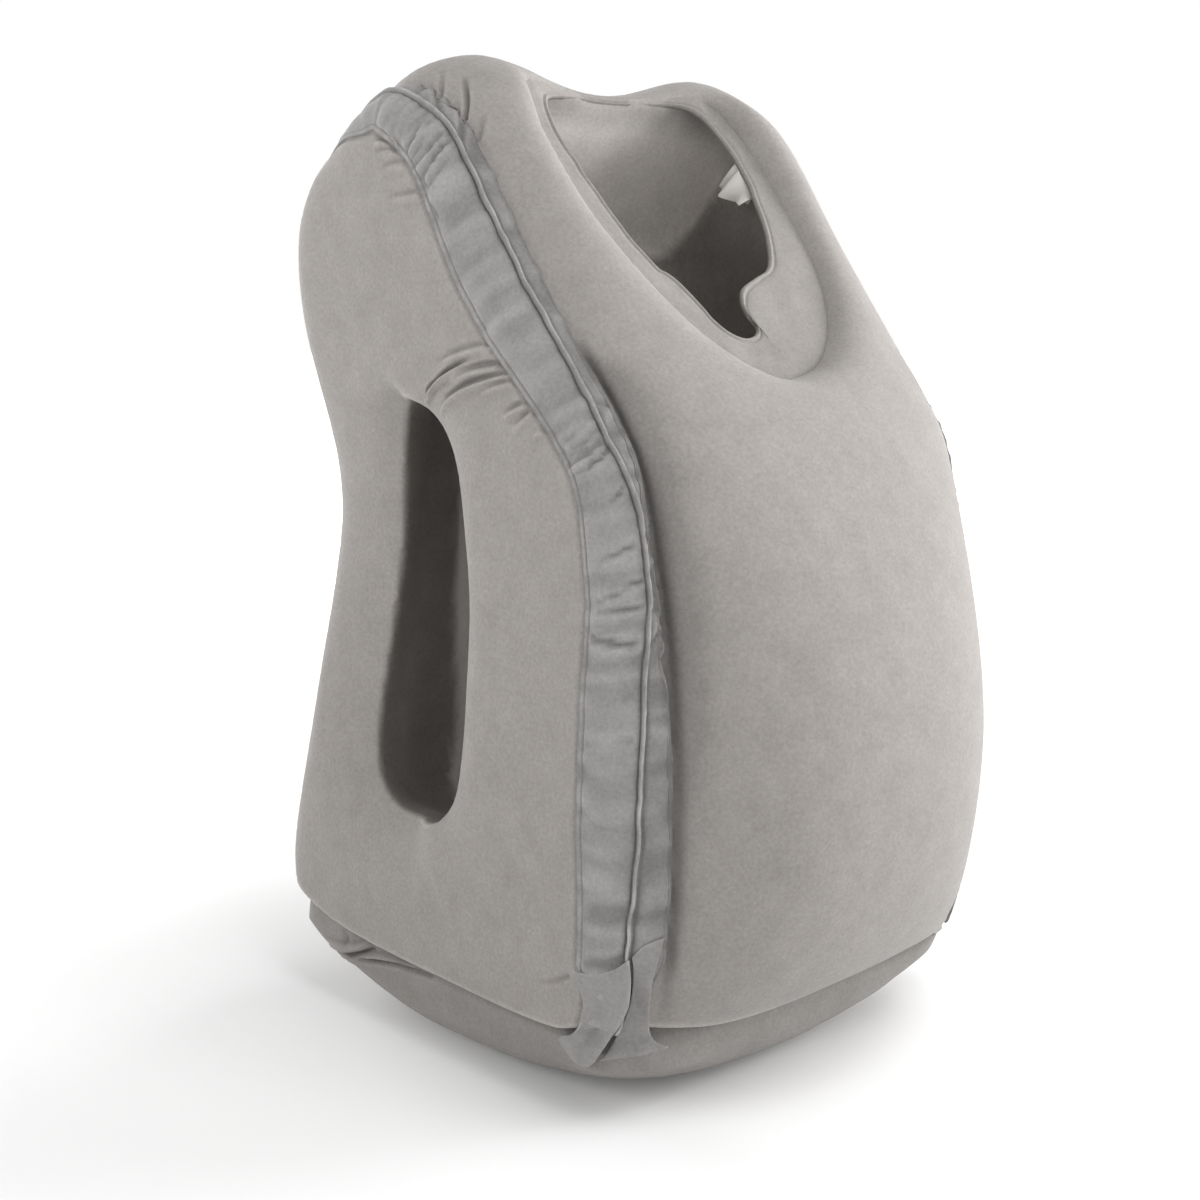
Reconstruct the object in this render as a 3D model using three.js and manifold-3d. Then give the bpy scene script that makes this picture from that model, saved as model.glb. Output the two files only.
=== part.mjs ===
// Inflatable travel pillow: a tall hollow air cushion that stands on the lap.
// The sitter leans the face into the sloping opening at the top and puts both arms through
// the holes in the sides. X runs across the pillow, -Y is its bulging front, +Z is up.
// Millimetres, with the origin under the middle of the base.

import * as THREE from "three";
import { mergeVertices } from "three/addons/utils/BufferGeometryUtils.js";
import Module from "manifold-3d";

const wasm = await Module();
wasm.setup();

// Driving dimensions
const SIDE_HALF_WIDTH = 143;
const SIDE_CROWN = 6;
const SIDE_CROWN_REACH = 30;
const CORNER_BLEND = 24;
const FRONT_PANEL_INSET = 18;
const SWELL_POWER = 0.55;
const SWELL_SOFTNESS = 0.02;
const HORN_SPAN = 88;

// Waist beside and behind the arm holes, where the side panels draw in
const WAIST_DEPTH = 13;
const WAIST_HEIGHT = 300;
const WAIST_REACH = 80;
const WAIST_FROM = 10;
const WAIST_TO = 110;

// Seam between the body and its base
const SEAM_HEIGHT = 44;
const SEAM_CORNER_LIFT = 11;
const SEAM_CORNER_MOST = 1.3;
const SEAM_HALF_WIDTH = 134;
const SEAM_HALF_DEPTH = 145;
const SEAM_SIDE_RISE = 0.022;
const SEAM_RISES_FROM = -70;
const SEAM_BLEND = 14;

// Hollow inside
const CHAMBER_HALF_WIDTH = 94;
const CHAMBER_CORNER_BLEND = 70;
const CHAMBER_FLOOR = 85;
const CHAMBER_FLOOR_BLEND = 60;
const CHAMBER_ROOF_DEPTH = 45;
const CHAMBER_ROOF_BLEND = 40;
const FUNNEL_DEPTH = 90;
const FUNNEL_BLEND = 16;
const FUNNEL_JOIN_BLEND = 24;
const ROLL_BLEND = 30;
const BACK_RIM_BLEND = 12;
const ARM_TUNNEL_INNER = 60;
const ARM_LIP = 128;
const ARM_LIP_REACH = 26;
const ARM_WIDENING = 4;
const ARM_REAR_BLEND = 20;
const ARM_FRONT_BLEND = 30;
const ARM_REAR = { from: 40, to: -10 };
const BACK_RIM = { from: 150, to: 195 };

// Making of the solids
const GAP = 0.3;
const CUTTER_GROWTH = 0.53;
const BODY_CELL = 16;
const SURFACE_SETTLE = { rounds: 4, longest: 3 };
const EVENING_SETTLE = { rounds: 2, longest: 3 };
const STRIP_SETTLE = { rounds: 6, longest: 6 };
const EVENING_ROUNDS = 2;
const SLOPE_STEP = 0.5;
const LEAST_SLOPE = 0.05;
const BAND_THICKNESS = 2;
const BAND_OVERLAP = 4;
const BAND_SAG = 10.7;
const BAND_SAG_SPAN = 66;
const BAND_SAG_FROM = 170;
const BAND_SAG_TO = 198;

// Side outline of the front, top and back panels at the corner welts. Crown is how far the
// panel swells past it at mid width, fullness how square that swell is, and dip how far the
// middle of the crest sinks between its two horns.
const SIDE_OUTLINE = table(["y", "z", "crown", "fullness", "dip"], [
  [-139, 38, 0, 2.3, 0],
  [-146, 60, 25, 2.3, 0],
  [-151, 95, 43, 2.3, 0],
  [-153, 150, 56, 2.3, 0],
  [-152, 200, 57, 2.3, 0],
  [-145, 262, 48, 2.3, 0],
  [-131, 330, 32, 2.6, 0],
  [-115, 360, 26, 3.2, 0],
  [-91, 390, 25, 4, 0],
  [-49, 445, 28, 4, 0],
  [-12, 498, 29, 4, 7],
  [12, 518, 29, 4, 14],
  [44, 530, 25, 4, 19],
  [75, 519, 18, 4, 20],
  [99, 502, 13, 3.5, 14],
  [120, 486, 10, 3, 7],
  [136, 455, 8, 3, 1],
  [136, 405, 9, 3, 0],
  [119, 325, 11, 3, 0],
  [121, 265, 12, 3, 0],
  [134, 185, 12, 3, 0],
  [156, 100, 10, 3, 0],
  [156, 65, 5, 3, 0],
  [145, 38, 0, 3, 0],
  [130, 10, 0, 3, 0],
  [-125, 10, 0, 3, 0],
]);

// Arm hole in a side panel: a tall D, straighter at the back and pointed at the top
const ARM_HOLE = table(["y", "z"], [
  [8, 134],
  [31, 131],
  [52, 133],
  [66, 143],
  [71, 160],
  [68, 190],
  [62, 216],
  [55, 250],
  [48, 285],
  [45, 320],
  [41, 346],
  [36, 361],
  [25, 367],
  [9, 360],
  [-3, 338],
  [-9, 318],
  [-15, 265],
  [-12, 217],
  [-5, 166],
]);

// Hollow that the side panel makes behind the arm hole, under a ridge from the hole's top.
// Its edge beside the hole lies deepest.
const ARM_HOLLOW = { depth: 14, reach: 52, from: 2, to: 34 };
const ARM_RIDGE = { height: 366, rise: 12, from: 12, to: 40, above: 2, below: 16, spread: 0.4 };

// Face opening in its own sloping plane: x across, v up the slope
const FACE_OPENING = table(["x", "v"], [
  [0, -1],
  [15, 1.5],
  [30, 6.5],
  [45, 17],
  [58, 31],
  [69, 48],
  [77, 68],
  [81.5, 90],
  [84, 118],
  [85, 150],
  [82, 180],
  [72, 197],
  [41, 203],
  [0, 203],
  [-40, 203],
  [-69, 198],
  [-80, 183],
  [-82, 157],
  [-79, 118],
  [-72, 88],
  [-60, 57],
  [-46, 32],
  [-30, 14],
  [-15, 3],
]);
const FACE_MIDDLE = 101.5;
const SLOPE_FOOT = { y: -112, z: 378 };
const SLOPE_ANGLE = THREE.MathUtils.degToRad(51.6);

// Free inner edge of the flat band inside the face opening, cut unevenly
const BAND_EDGE = table(["x", "v"], [
  [-2, 26],
  [5, 33],
  [4, 47],
  [11, 58.5],
  [27, 66],
  [41, 72],
  [50, 82],
  [60, 102],
  [66, 124],
  [70, 145],
  [68, 172],
  [62, 188],
  [50, 197],
  [31, 199.5],
  [-31, 199],
  [-51, 194],
  [-61, 184],
  [-65, 161],
  [-62.5, 135],
  [-54.5, 91],
  [-46, 70],
  [-32.5, 54],
  [-20, 29.5],
]);

// Inner front and back walls of the hollow, as depth at each height
const HOLLOW_BACK = table(["z", "y"], [
  [60, 92],
  [130, 92],
  [260, 84],
  [360, 76],
  [440, 60],
  [500, 35],
  [539, 15],
  [600, -14],
]);
const HOLLOW_FRONT = table(["z", "y"], [
  [60, -78],
  [120, -90],
  [180, -98],
  [250, -102],
  [320, -102],
  [420, -99],
]);

// Base cushion: plan outline at each height, from the flat foot up into the body's seam.
// Power is the exponent of the rounded rectangle, higher where its corners are squarer.
const BASE_SECTIONS = table(["z", "halfWidth", "front", "back", "power"], [
  [0, 108, -104, 114, 2.4],
  [5, 127, -124, 133, 2.5],
  [10, 134, -132, 139, 2.9],
  [15, 137, -136, 142, 3.6],
  [22, 138, -139, 145, 5],
  [30, 138, -140, 147, 8],
  [40, 137, -139, 147, 11],
  [58, 134, -137, 146, 11],
  [72, 132, -135, 144, 11],
]);

// Corner strip by the way walked along the side outline: how far in from the outline, and
// how far out from the middle, its edge on the side panel and its welt lie. Far is its edge
// beside the front panel. On the back the strip lies round the corner, on the back panel.
const STRIP_PLACE = table(["walked", "edge", "edgeOut", "welt", "weltOut", "farOut"], [
  [0, 33, 149, 9, 141, 124.5],
  [80, 39.5, 149, 8.5, 140.6, 124.5],
  [160, 39.6, 149, 5.9, 138, 124.5],
  [200, 34.4, 149, 3.6, 134.6, 124.5],
  [240, 25, 149, 1.2, 129, 124.5],
  [280, 21.7, 149, 1.2, 128.3, 124.5],
  [320, 21.8, 149, 3.2, 133.8, 124.5],
  [360, 25, 149, 2.8, 133, 124.5],
  [400, 31.3, 149, 3.2, 134, 124.5],
  [440, 33.2, 149, 3.3, 134.3, 124.5],
  [520, 27.7, 149, 3.7, 134.8, 124.5],
  [560, 25.8, 149, 4.7, 136, 124.5],
  [590, 22, 147, 4.5, 135, 123],
  [620, 12, 143, 2, 128, 115],
  [660, 5, 140, 0, 119, 105],
  [1118, 5, 140, 0, 119, 105],
]);
const STRIP_FAR_IN = -0.8;

// On the right the strip lies further round on the side panel, up to where it turns back
const RIGHT_ROUND = { edge: 10, welt: 12, weltOut: 146, farOut: 138, farIn: 5, ends: 640, from: 560 };

// Section of the strip: share is 0 at its edge on the side panel, 1 at the welt and 2 at its
// far edge, and proud is its height above the panels
const STRIP_ACROSS = table(["share", "proud", "ruffled"], [
  [0, 1.2, 0],
  [0.25, 4.2, 1],
  [0.7, 4.8, 0],
  [0.9, 3.2, 0],
  [1, 0, 1],
  [1.2, 3.2, 0],
  [1.6, 4, 0],
  [2, 2, 1],
]);
const BASE_STEPS = 48;
const OUTLINE_STEPS = 6;
const HOLE_STEPS = 4;
const BAND_STEPS = 2;
const STRIP_LEAVES_OUT = 3;
const STRIP_WELT = 4;
const WELT_PROUD = { left: 7, right: 5 };
const STRIP_UNDER = [0, 2, 5, 7];
const WELT_FALLS_FROM = 0.35;
const STRIP_STEP = 21;
const STRIP_SUNK = 4;
const PUCKER_HEIGHT = 1.1;
const PUCKER_PITCH = 47;
const TAIL_DROP = 15;
const TAIL_TAPER = 0.75;

// Blank label under the band's free edge on the right
const LABEL_PLACE = { x: 72.5, v: 128 };
const LABEL_LENGTH = 21;
const LABEL_SECTION = table(["across", "down"], [
  [0, 0],
  [2.4, 0],
  [6.6, -16.2],
  [5.4, -16.6],
  [1.5, -2.2],
  [1.4, -16.2],
  [0.2, -16.2],
]);

function table(columns, rows) {
  return rows.map((row) => Object.fromEntries(columns.map((name, i) => [name, row[i]])));
}

function lookUp(rows, key, at, column) {
  const last = rows.length - 1;
  if (at <= rows[0][key]) return rows[0][column];
  if (at >= rows[last][key]) return rows[last][column];
  const i = rows.findIndex((row) => row[key] > at);
  const t = (at - rows[i - 1][key]) / (rows[i][key] - rows[i - 1][key]);
  return THREE.MathUtils.lerp(rows[i - 1][column], rows[i][column], t);
}

// Smooth closed curve through a table's rows, carrying every column along
function smoothLoop(rows, steps) {
  const columns = Object.keys(rows[0]);
  const count = rows.length;
  const loop = [];
  for (let i = 0; i < count; i++) {
    const four = [-1, 0, 1, 2].map((k) => rows[(i + k + count) % count]);
    for (let s = 0; s < steps; s++) {
      const t = s / steps;
      const point = {};
      for (const name of columns) {
        const [a, b, c, d] = four.map((row) => row[name]);
        const cubic = (3 * b - a - 3 * c + d) * t ** 3;
        point[name] = 0.5 * (2 * b + (c - a) * t + (2 * a - 5 * b + 4 * c - d) * t * t + cubic);
      }
      loop.push(point);
    }
  }
  return loop;
}

// Signed distance to a closed loop in its first two columns, negative inside, with the
// nearest edge and the place along it
function loopDistance(loop, u, v, px, py) {
  let best = Infinity;
  let edge = 0;
  let along = 0;
  let inside = false;
  for (let i = 0; i < loop.length; i++) {
    const a = loop[i];
    const b = loop[(i + 1) % loop.length];
    const ex = b[u] - a[u];
    const ey = b[v] - a[v];
    const raw = ((px - a[u]) * ex + (py - a[v]) * ey) / (ex * ex + ey * ey);
    const t = THREE.MathUtils.clamp(raw, 0, 1);
    const gap = (px - a[u] - t * ex) ** 2 + (py - a[v] - t * ey) ** 2;
    if (gap < best) {
      best = gap;
      edge = i;
      along = t;
    }
    const crosses = a[v] > py !== b[v] > py;
    if (crosses && px < a[u] + ((py - a[v]) * ex) / ey) inside = !inside;
  }
  const distance = Math.sqrt(best);
  return { distance: inside ? -distance : distance, edge, along };
}

function smoothMax(a, b, blend) {
  const h = Math.max(blend - Math.abs(a - b), 0) / blend;
  return Math.max(a, b) + (h * h * blend) / 4;
}

function smoothMin(a, b, blend) {
  return -smoothMax(-a, -b, blend);
}

function ease(from, to, at) {
  const t = THREE.MathUtils.clamp((at - from) / (to - from), 0, 1);
  return t * t * (3 - 2 * t);
}

const outlineLoop = smoothLoop(SIDE_OUTLINE, OUTLINE_STEPS);
const armLoop = smoothLoop(ARM_HOLE, HOLE_STEPS);
const faceLoop = smoothLoop(FACE_OPENING, HOLE_STEPS);
const slopeAlong = { y: Math.cos(SLOPE_ANGLE), z: Math.sin(SLOPE_ANGLE) };
const slopeOut = { y: -Math.sin(SLOPE_ANGLE), z: Math.cos(SLOPE_ANGLE) };

function slopeCoordinates(y, z) {
  const dy = y - SLOPE_FOOT.y;
  const dz = z - SLOPE_FOOT.z;
  return {
    v: dy * slopeAlong.y + dz * slopeAlong.z,
    out: dy * slopeOut.y + dz * slopeOut.z,
  };
}

function slopePoint(x, v, out) {
  const y = SLOPE_FOOT.y + v * slopeAlong.y + out * slopeOut.y;
  const z = SLOPE_FOOT.z + v * slopeAlong.z + out * slopeOut.z;
  return new THREE.Vector3(x, y, z);
}

// Height of the seam between body and base, which lifts towards the four corners
function seamHeight(x, y) {
  const corner = (Math.abs(x) / SEAM_HALF_WIDTH) ** 4 * (Math.abs(y) / SEAM_HALF_DEPTH) ** 4;
  const side = Math.min((Math.abs(x) / SEAM_HALF_WIDTH) ** 4, 1);
  const rise = SEAM_SIDE_RISE * (y - SEAM_RISES_FROM) * side;
  return SEAM_HEIGHT + SEAM_CORNER_LIFT * Math.min(corner, SEAM_CORNER_MOST) + rise;
}

// The body is described by fields: negative inside, zero on the surface, about in mm.

// How far the side panel sinks behind the arm hole
function armHollow(y, z) {
  const gap = Math.max(loopDistance(armLoop, "y", "z", y, z).distance, 0);
  const near = Math.max(1 - gap / ARM_HOLLOW.reach, 0) ** 2;
  const { height, rise, from, to, above, below, spread } = ARM_RIDGE;
  const ridge = height + rise * ease(from, to, y);
  const under = ease(ridge + above, ridge - below - spread * gap, z);
  return ARM_HOLLOW.depth * near * under * ease(ARM_HOLLOW.from, ARM_HOLLOW.to, y);
}

// Outside of the inflated body, with its panels swollen between their seams
function outerField(x, y, z) {
  const across = Math.abs(x);
  const near = loopDistance(outlineLoop, "y", "z", y, z);
  const a = outlineLoop[near.edge];
  const b = outlineLoop[(near.edge + 1) % outlineLoop.length];
  const mix = (name) => THREE.MathUtils.lerp(a[name], b[name], near.along);
  const reach = Math.min(across / (SIDE_HALF_WIDTH - FRONT_PANEL_INSET), 1);
  const full = 1 - reach ** mix("fullness") + SWELL_SOFTNESS;
  const swell = full ** SWELL_POWER - SWELL_SOFTNESS ** SWELL_POWER;
  const saddle = Math.max(1 - (across / HORN_SPAN) ** 2, 0) ** 1.5;
  const panel = near.distance - mix("crown") * swell + mix("dip") * saddle;
  const sideSwell = 1 - Math.exp(Math.min(near.distance, 0) / SIDE_CROWN_REACH);
  const level = Math.exp(-(((z - WAIST_HEIGHT) / WAIST_REACH) ** 2));
  const waist = level * ease(WAIST_FROM, WAIST_TO, y);
  const sunk = WAIST_DEPTH * waist + armHollow(y, z);
  const side = across - SIDE_HALF_WIDTH - SIDE_CROWN * sideSwell + sunk;
  const walls = smoothMax(panel, side, CORNER_BLEND);
  return smoothMax(walls, seamHeight(x, y) - z, SEAM_BLEND);
}

// Hollow inside the body with its funnel up to the face opening
function hollowField(x, y, z) {
  const back = lookUp(HOLLOW_BACK, "z", z, "y");
  const front = lookUp(HOLLOW_FRONT, "z", z, "y");
  const depth = Math.abs(y - (back + front) / 2) - (back - front) / 2;
  const slope = slopeCoordinates(y, z);
  let room = smoothMax(depth, Math.abs(x) - CHAMBER_HALF_WIDTH, CHAMBER_CORNER_BLEND);
  room = smoothMax(room, CHAMBER_FLOOR - z, CHAMBER_FLOOR_BLEND);
  room = smoothMax(room, slope.out + CHAMBER_ROOF_DEPTH, CHAMBER_ROOF_BLEND);
  let funnel = loopDistance(faceLoop, "x", "v", x, slope.v).distance;
  funnel = smoothMax(funnel, -slope.out - FUNNEL_DEPTH, FUNNEL_BLEND);
  funnel = smoothMax(funnel, y - back, FUNNEL_BLEND);
  return smoothMin(room, funnel, FUNNEL_JOIN_BLEND);
}

// Arm tunnels, which widen just behind their lips
function armField(x, y, z) {
  const across = Math.abs(x);
  const hole = loopDistance(armLoop, "y", "z", y, z).distance;
  const widened = hole - ARM_WIDENING * ease(0, 1, (ARM_LIP - across) / ARM_LIP_REACH);
  return smoothMax(widened, ARM_TUNNEL_INNER - across, FUNNEL_BLEND);
}

function bodyField(x, y, z) {
  const backRim = ease(BACK_RIM.from, BACK_RIM.to, slopeCoordinates(y, z).v);
  const rimBlend = THREE.MathUtils.lerp(ROLL_BLEND, BACK_RIM_BLEND, backRim);
  const forward = ease(ARM_REAR.from, ARM_REAR.to, y);
  const armBlend = THREE.MathUtils.lerp(ARM_REAR_BLEND, ARM_FRONT_BLEND, forward);
  const shell = smoothMax(outerField(x, y, z), -hollowField(x, y, z), rimBlend);
  return smoothMax(shell, -armField(x, y, z), armBlend);
}

function gradient(field, p) {
  const e = SLOPE_STEP;
  return new THREE.Vector3(
    field(p.x + e, p.y, p.z) - field(p.x - e, p.y, p.z),
    field(p.x, p.y + e, p.z) - field(p.x, p.y - e, p.z),
    field(p.x, p.y, p.z + e) - field(p.x, p.y, p.z - e),
  ).divideScalar(2 * e);
}

// Moves a point along the field's slope until the field has the given level there
function settle(field, point, level, { rounds, longest }) {
  const p = point.clone();
  for (let i = 0; i < rounds; i++) {
    const slope = gradient(field, p);
    const steep = Math.max(slope.lengthSq(), LEAST_SLOPE);
    const step = slope.multiplyScalar((level - field(p.x, p.y, p.z)) / steep);
    p.add(step.clampLength(0, longest));
  }
  return p;
}

// Surface of a field as an even mesh of quads, one point in each cell that the surface
// crosses, moved onto the surface
function fieldSurface(field, low, high, cell) {
  const size = low.map((value, k) => Math.ceil((high[k] - value) / cell) + 1);
  const at = (i, j, k) => (i * size[1] + j) * size[2] + k;
  const place = (i, k) => low[k] + i * cell;
  const level = new Float64Array(size[0] * size[1] * size[2]);
  for (let i = 0; i < size[0]; i++) {
    for (let j = 0; j < size[1]; j++) {
      for (let k = 0; k < size[2]; k++) {
        level[at(i, j, k)] = field(place(i, 0), place(j, 1), place(k, 2));
      }
    }
  }
  const corners = [0, 1, 2, 3, 4, 5, 6, 7].map((n) => [n & 1, (n >> 1) & 1, n >> 2]);
  const edges = [];
  corners.forEach((a, n) => {
    for (let axis = 0; axis < 3; axis++) if (!a[axis]) edges.push([n, n | (1 << axis)]);
  });
  const points = [];
  const pointOf = new Map();
  for (let i = 0; i < size[0] - 1; i++) {
    for (let j = 0; j < size[1] - 1; j++) {
      for (let k = 0; k < size[2] - 1; k++) {
        const values = corners.map(([a, b, c]) => level[at(i + a, j + b, k + c)]);
        const sum = new THREE.Vector3();
        let crossings = 0;
        for (const [m, n] of edges) {
          if (values[m] < 0 === values[n] < 0) continue;
          const t = values[m] / (values[m] - values[n]);
          const from = new THREE.Vector3(...corners[m]);
          sum.add(from.lerp(new THREE.Vector3(...corners[n]), t));
          crossings += 1;
        }
        if (!crossings) continue;
        sum.divideScalar(crossings).multiplyScalar(cell);
        sum.add(new THREE.Vector3(place(i, 0), place(j, 1), place(k, 2)));
        pointOf.set(at(i, j, k), points.length);
        points.push(settle(field, sum, 0, SURFACE_SETTLE));
      }
    }
  }
  const faces = [];
  for (let i = 1; i < size[0] - 1; i++) {
    for (let j = 1; j < size[1] - 1; j++) {
      for (let k = 1; k < size[2] - 1; k++) {
        for (let axis = 0; axis < 3; axis++) {
          const ahead = [i, j, k].map((value, n) => value + (n === axis ? 1 : 0));
          const here = level[at(i, j, k)] < 0;
          if (here === level[at(...ahead)] < 0) continue;
          const u = (axis + 1) % 3;
          const v = (axis + 2) % 3;
          const around = [[0, 0], [1, 0], [1, 1], [0, 1]].map(([a, b]) => {
            const index = [i, j, k];
            index[u] -= a;
            index[v] -= b;
            return pointOf.get(at(...index));
          });
          pushQuad(faces, points, here ? around : around.reverse());
        }
      }
    }
  }
  return meshSolid(evened(field, points, faces), faces);
}

// Points moved halfway to the middle of their neighbours and back onto the surface, twice
function evened(field, points, faces) {
  let moved = points;
  for (let round = 0; round < EVENING_ROUNDS; round++) {
    const sums = moved.map(() => new THREE.Vector3());
    const counts = moved.map(() => 0);
    for (const face of faces) {
      face.forEach((a, n) => {
        sums[a].add(moved[face[(n + 1) % 3]]);
        counts[a] += 1;
      });
    }
    moved = moved.map((p, i) => {
      const middle = sums[i].divideScalar(counts[i]);
      return settle(field, p.clone().lerp(middle, 0.5), 0, EVENING_SETTLE);
    });
  }
  return moved;
}

// Two triangles for a quad, split along its shorter diagonal
function pushQuad(faces, points, [a, b, c, d]) {
  const first = points[a].distanceToSquared(points[c]);
  const second = points[b].distanceToSquared(points[d]);
  if (first <= second) faces.push([a, b, c], [a, c, d]);
  else faces.push([b, c, d], [b, d, a]);
}

function meshSolid(points, faces) {
  const vertProperties = new Float32Array(points.flatMap((p) => [p.x, p.y, p.z]));
  const triVerts = new Uint32Array(faces.flat());
  return new wasm.Manifold(new wasm.Mesh({ numProp: 3, vertProperties, triVerts }));
}

// Solid from rings of equally many points, closed at both ends by flat fans
function ringSolid(rings) {
  const around = rings[0].length;
  const points = rings.flat();
  const faces = [];
  for (let r = 0; r + 1 < rings.length; r++) {
    for (let i = 0; i < around; i++) {
      const j = (i + 1) % around;
      const a = r * around;
      const b = a + around;
      pushQuad(faces, points, [a + i, a + j, b + j, b + i]);
    }
  }
  for (const [ring, flip] of [[0, true], [rings.length - 1, false]]) {
    const centre = points.length;
    const sum = rings[ring].reduce((total, p) => total.add(p), new THREE.Vector3());
    points.push(sum.divideScalar(around));
    for (let i = 0; i < around; i++) {
      const a = ring * around + i;
      const b = ring * around + ((i + 1) % around);
      faces.push(flip ? [b, a, centre] : [a, b, centre]);
    }
  }
  return meshSolid(points, faces);
}

// Geometry of a solid for three.js, keeping only its largest connected piece
function solidGeometry(solid) {
  const pieces = solid.decompose();
  pieces.sort((a, b) => b.volume() - a.volume());
  const mesh = pieces[0].getMesh();
  const geometry = new THREE.BufferGeometry();
  geometry.setAttribute("position", new THREE.BufferAttribute(mesh.vertProperties, 3));
  geometry.setIndex(new THREE.BufferAttribute(mesh.triVerts, 1));
  return mergeVertices(geometry, 1e-4);
}

// The same solid with each point moved out by a small distance, to cut what lies on it
function grown(solid, distance) {
  const geometry = solidGeometry(solid);
  geometry.computeVertexNormals();
  const { position, normal } = geometry.attributes;
  for (let i = 0; i < position.count; i++) {
    const out = new THREE.Vector3().fromBufferAttribute(normal, i).multiplyScalar(distance);
    out.add(new THREE.Vector3().fromBufferAttribute(position, i));
    position.setXYZ(i, out.x, out.y, out.z);
  }
  return geometrySolid(geometry);
}

const BODY_LOW = [-184, -250, 2];
const BODY_HIGH = [184, 200, 590];
const bodySolid = fieldSurface(bodyField, BODY_LOW, BODY_HIGH, BODY_CELL);
const bodyCutter = grown(bodySolid, CUTTER_GROWTH);

// Base cushion, flat where it stands
function baseLoft() {
  const ring = (row) => {
    const middle = (row.front + row.back) / 2;
    const half = (row.back - row.front) / 2;
    const points = [];
    for (let i = 0; i < BASE_STEPS; i++) {
      const angle = (2 * Math.PI * i) / BASE_STEPS;
      const c = Math.cos(angle);
      const s = Math.sin(angle);
      const scale = (Math.abs(c) ** row.power + Math.abs(s) ** row.power) ** (-1 / row.power);
      const x = row.halfWidth * c * scale;
      points.push(new THREE.Vector3(x, middle + half * s * scale, row.z));
    }
    return points;
  };
  return ringSolid(BASE_SECTIONS.map(ring));
}
const wholeBase = baseLoft();
const baseSolid = wholeBase.subtract(bodyCutter);

// Places along the side outline about evenly apart, with the way walked to each
function stripStations() {
  const open = outlineLoop.slice(0, (SIDE_OUTLINE.length - STRIP_LEAVES_OUT) * OUTLINE_STEPS + 1);
  const stations = [{ ...open[0], walked: 0 }];
  let walked = 0;
  for (let i = 1; i < open.length; i++) {
    walked += Math.hypot(open[i].y - open[i - 1].y, open[i].z - open[i - 1].z);
    if (walked - stations[stations.length - 1].walked >= STRIP_STEP) {
      stations.push({ ...open[i], walked });
    }
  }
  return stations;
}

// Corner strip on one side: runs up the front corner, back over the top and down the back
function stripSolid(side) {
  const weltProud = side < 0 ? WELT_PROUD.left : WELT_PROUD.right;
  const stations = stripStations();
  const rings = stations.map((p, i) => {
    const a = stations[Math.max(i - 1, 0)];
    const b = stations[Math.min(i + 1, stations.length - 1)];
    const length = Math.hypot(b.y - a.y, b.z - a.z);
    const inY = (b.z - a.z) / length;
    const inZ = -(b.y - a.y) / length;
    const round = side > 0 ? ease(RIGHT_ROUND.ends, RIGHT_ROUND.from, p.walked) : 0;
    const usual = (column) => lookUp(STRIP_PLACE, "walked", p.walked, column);
    const place = (column) => {
      const moved = column.endsWith("Out") ? RIGHT_ROUND[column] : usual(column) + RIGHT_ROUND[column];
      return column === "edgeOut" ? usual(column) : THREE.MathUtils.lerp(usual(column), moved, round);
    };
    const farIn = THREE.MathUtils.lerp(STRIP_FAR_IN, RIGHT_ROUND.farIn, round);
    const pucker = PUCKER_HEIGHT * Math.sin((2 * Math.PI * i * STRIP_STEP) / PUCKER_PITCH);
    const top = STRIP_ACROSS.map((row, n) => {
      const first = Math.min(row.share, 1);
      const second = Math.max(row.share - 1, 0);
      const inward = THREE.MathUtils.lerp(place("edge"), place("welt"), first);
      const into = inward + (farIn - place("welt")) * second;
      const fall = (place("edgeOut") - place("weltOut")) * ease(WELT_FALLS_FROM, 1, first);
      const out = place("edgeOut") - fall - (place("weltOut") - place("farOut")) * second;
      const guess = new THREE.Vector3(side * out, p.y + inY * into, p.z + inZ * into);
      const ruffled = row.proud + (row.ruffled * pucker);
      return { guess, proud: n === STRIP_WELT ? weltProud : ruffled };
    });
    const outside = top.map(({ guess, proud }) => settle(outerField, guess, proud, STRIP_SETTLE));
    const inside = (n) => settle(outerField, top[n].guess, -STRIP_SUNK, STRIP_SETTLE);
    const under = STRIP_UNDER.map(inside);
    return [...outside, ...under.reverse()];
  });
  const drop = new THREE.Vector3(0, 0, -TAIL_DROP);
  const tail = (ring) => ring.map((p) => p.clone().lerp(ring[STRIP_WELT], TAIL_TAPER).add(drop));
  const whole = [tail(rings[0]), ...rings, tail(rings[rings.length - 1])];
  return ringSolid(side < 0 ? whole : whole.map((ring) => ring.reverse()));
}

// A point of the opening's edge moved out from its middle, into the body's roll
function spread(p) {
  const middle = new THREE.Vector2(0, FACE_MIDDLE);
  const out = new THREE.Vector2(p.x, p.v).sub(middle);
  return out.setLength(out.length() + BAND_OVERLAP).add(middle);
}

// How far the band sags at its back, where the body's rim is lower in the middle
function bandSag(x, v) {
  const middle = Math.max(1 - (x / BAND_SAG_SPAN) ** 2, 0);
  return BAND_SAG * middle * ease(BAND_SAG_FROM, BAND_SAG_TO, v);
}

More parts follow.
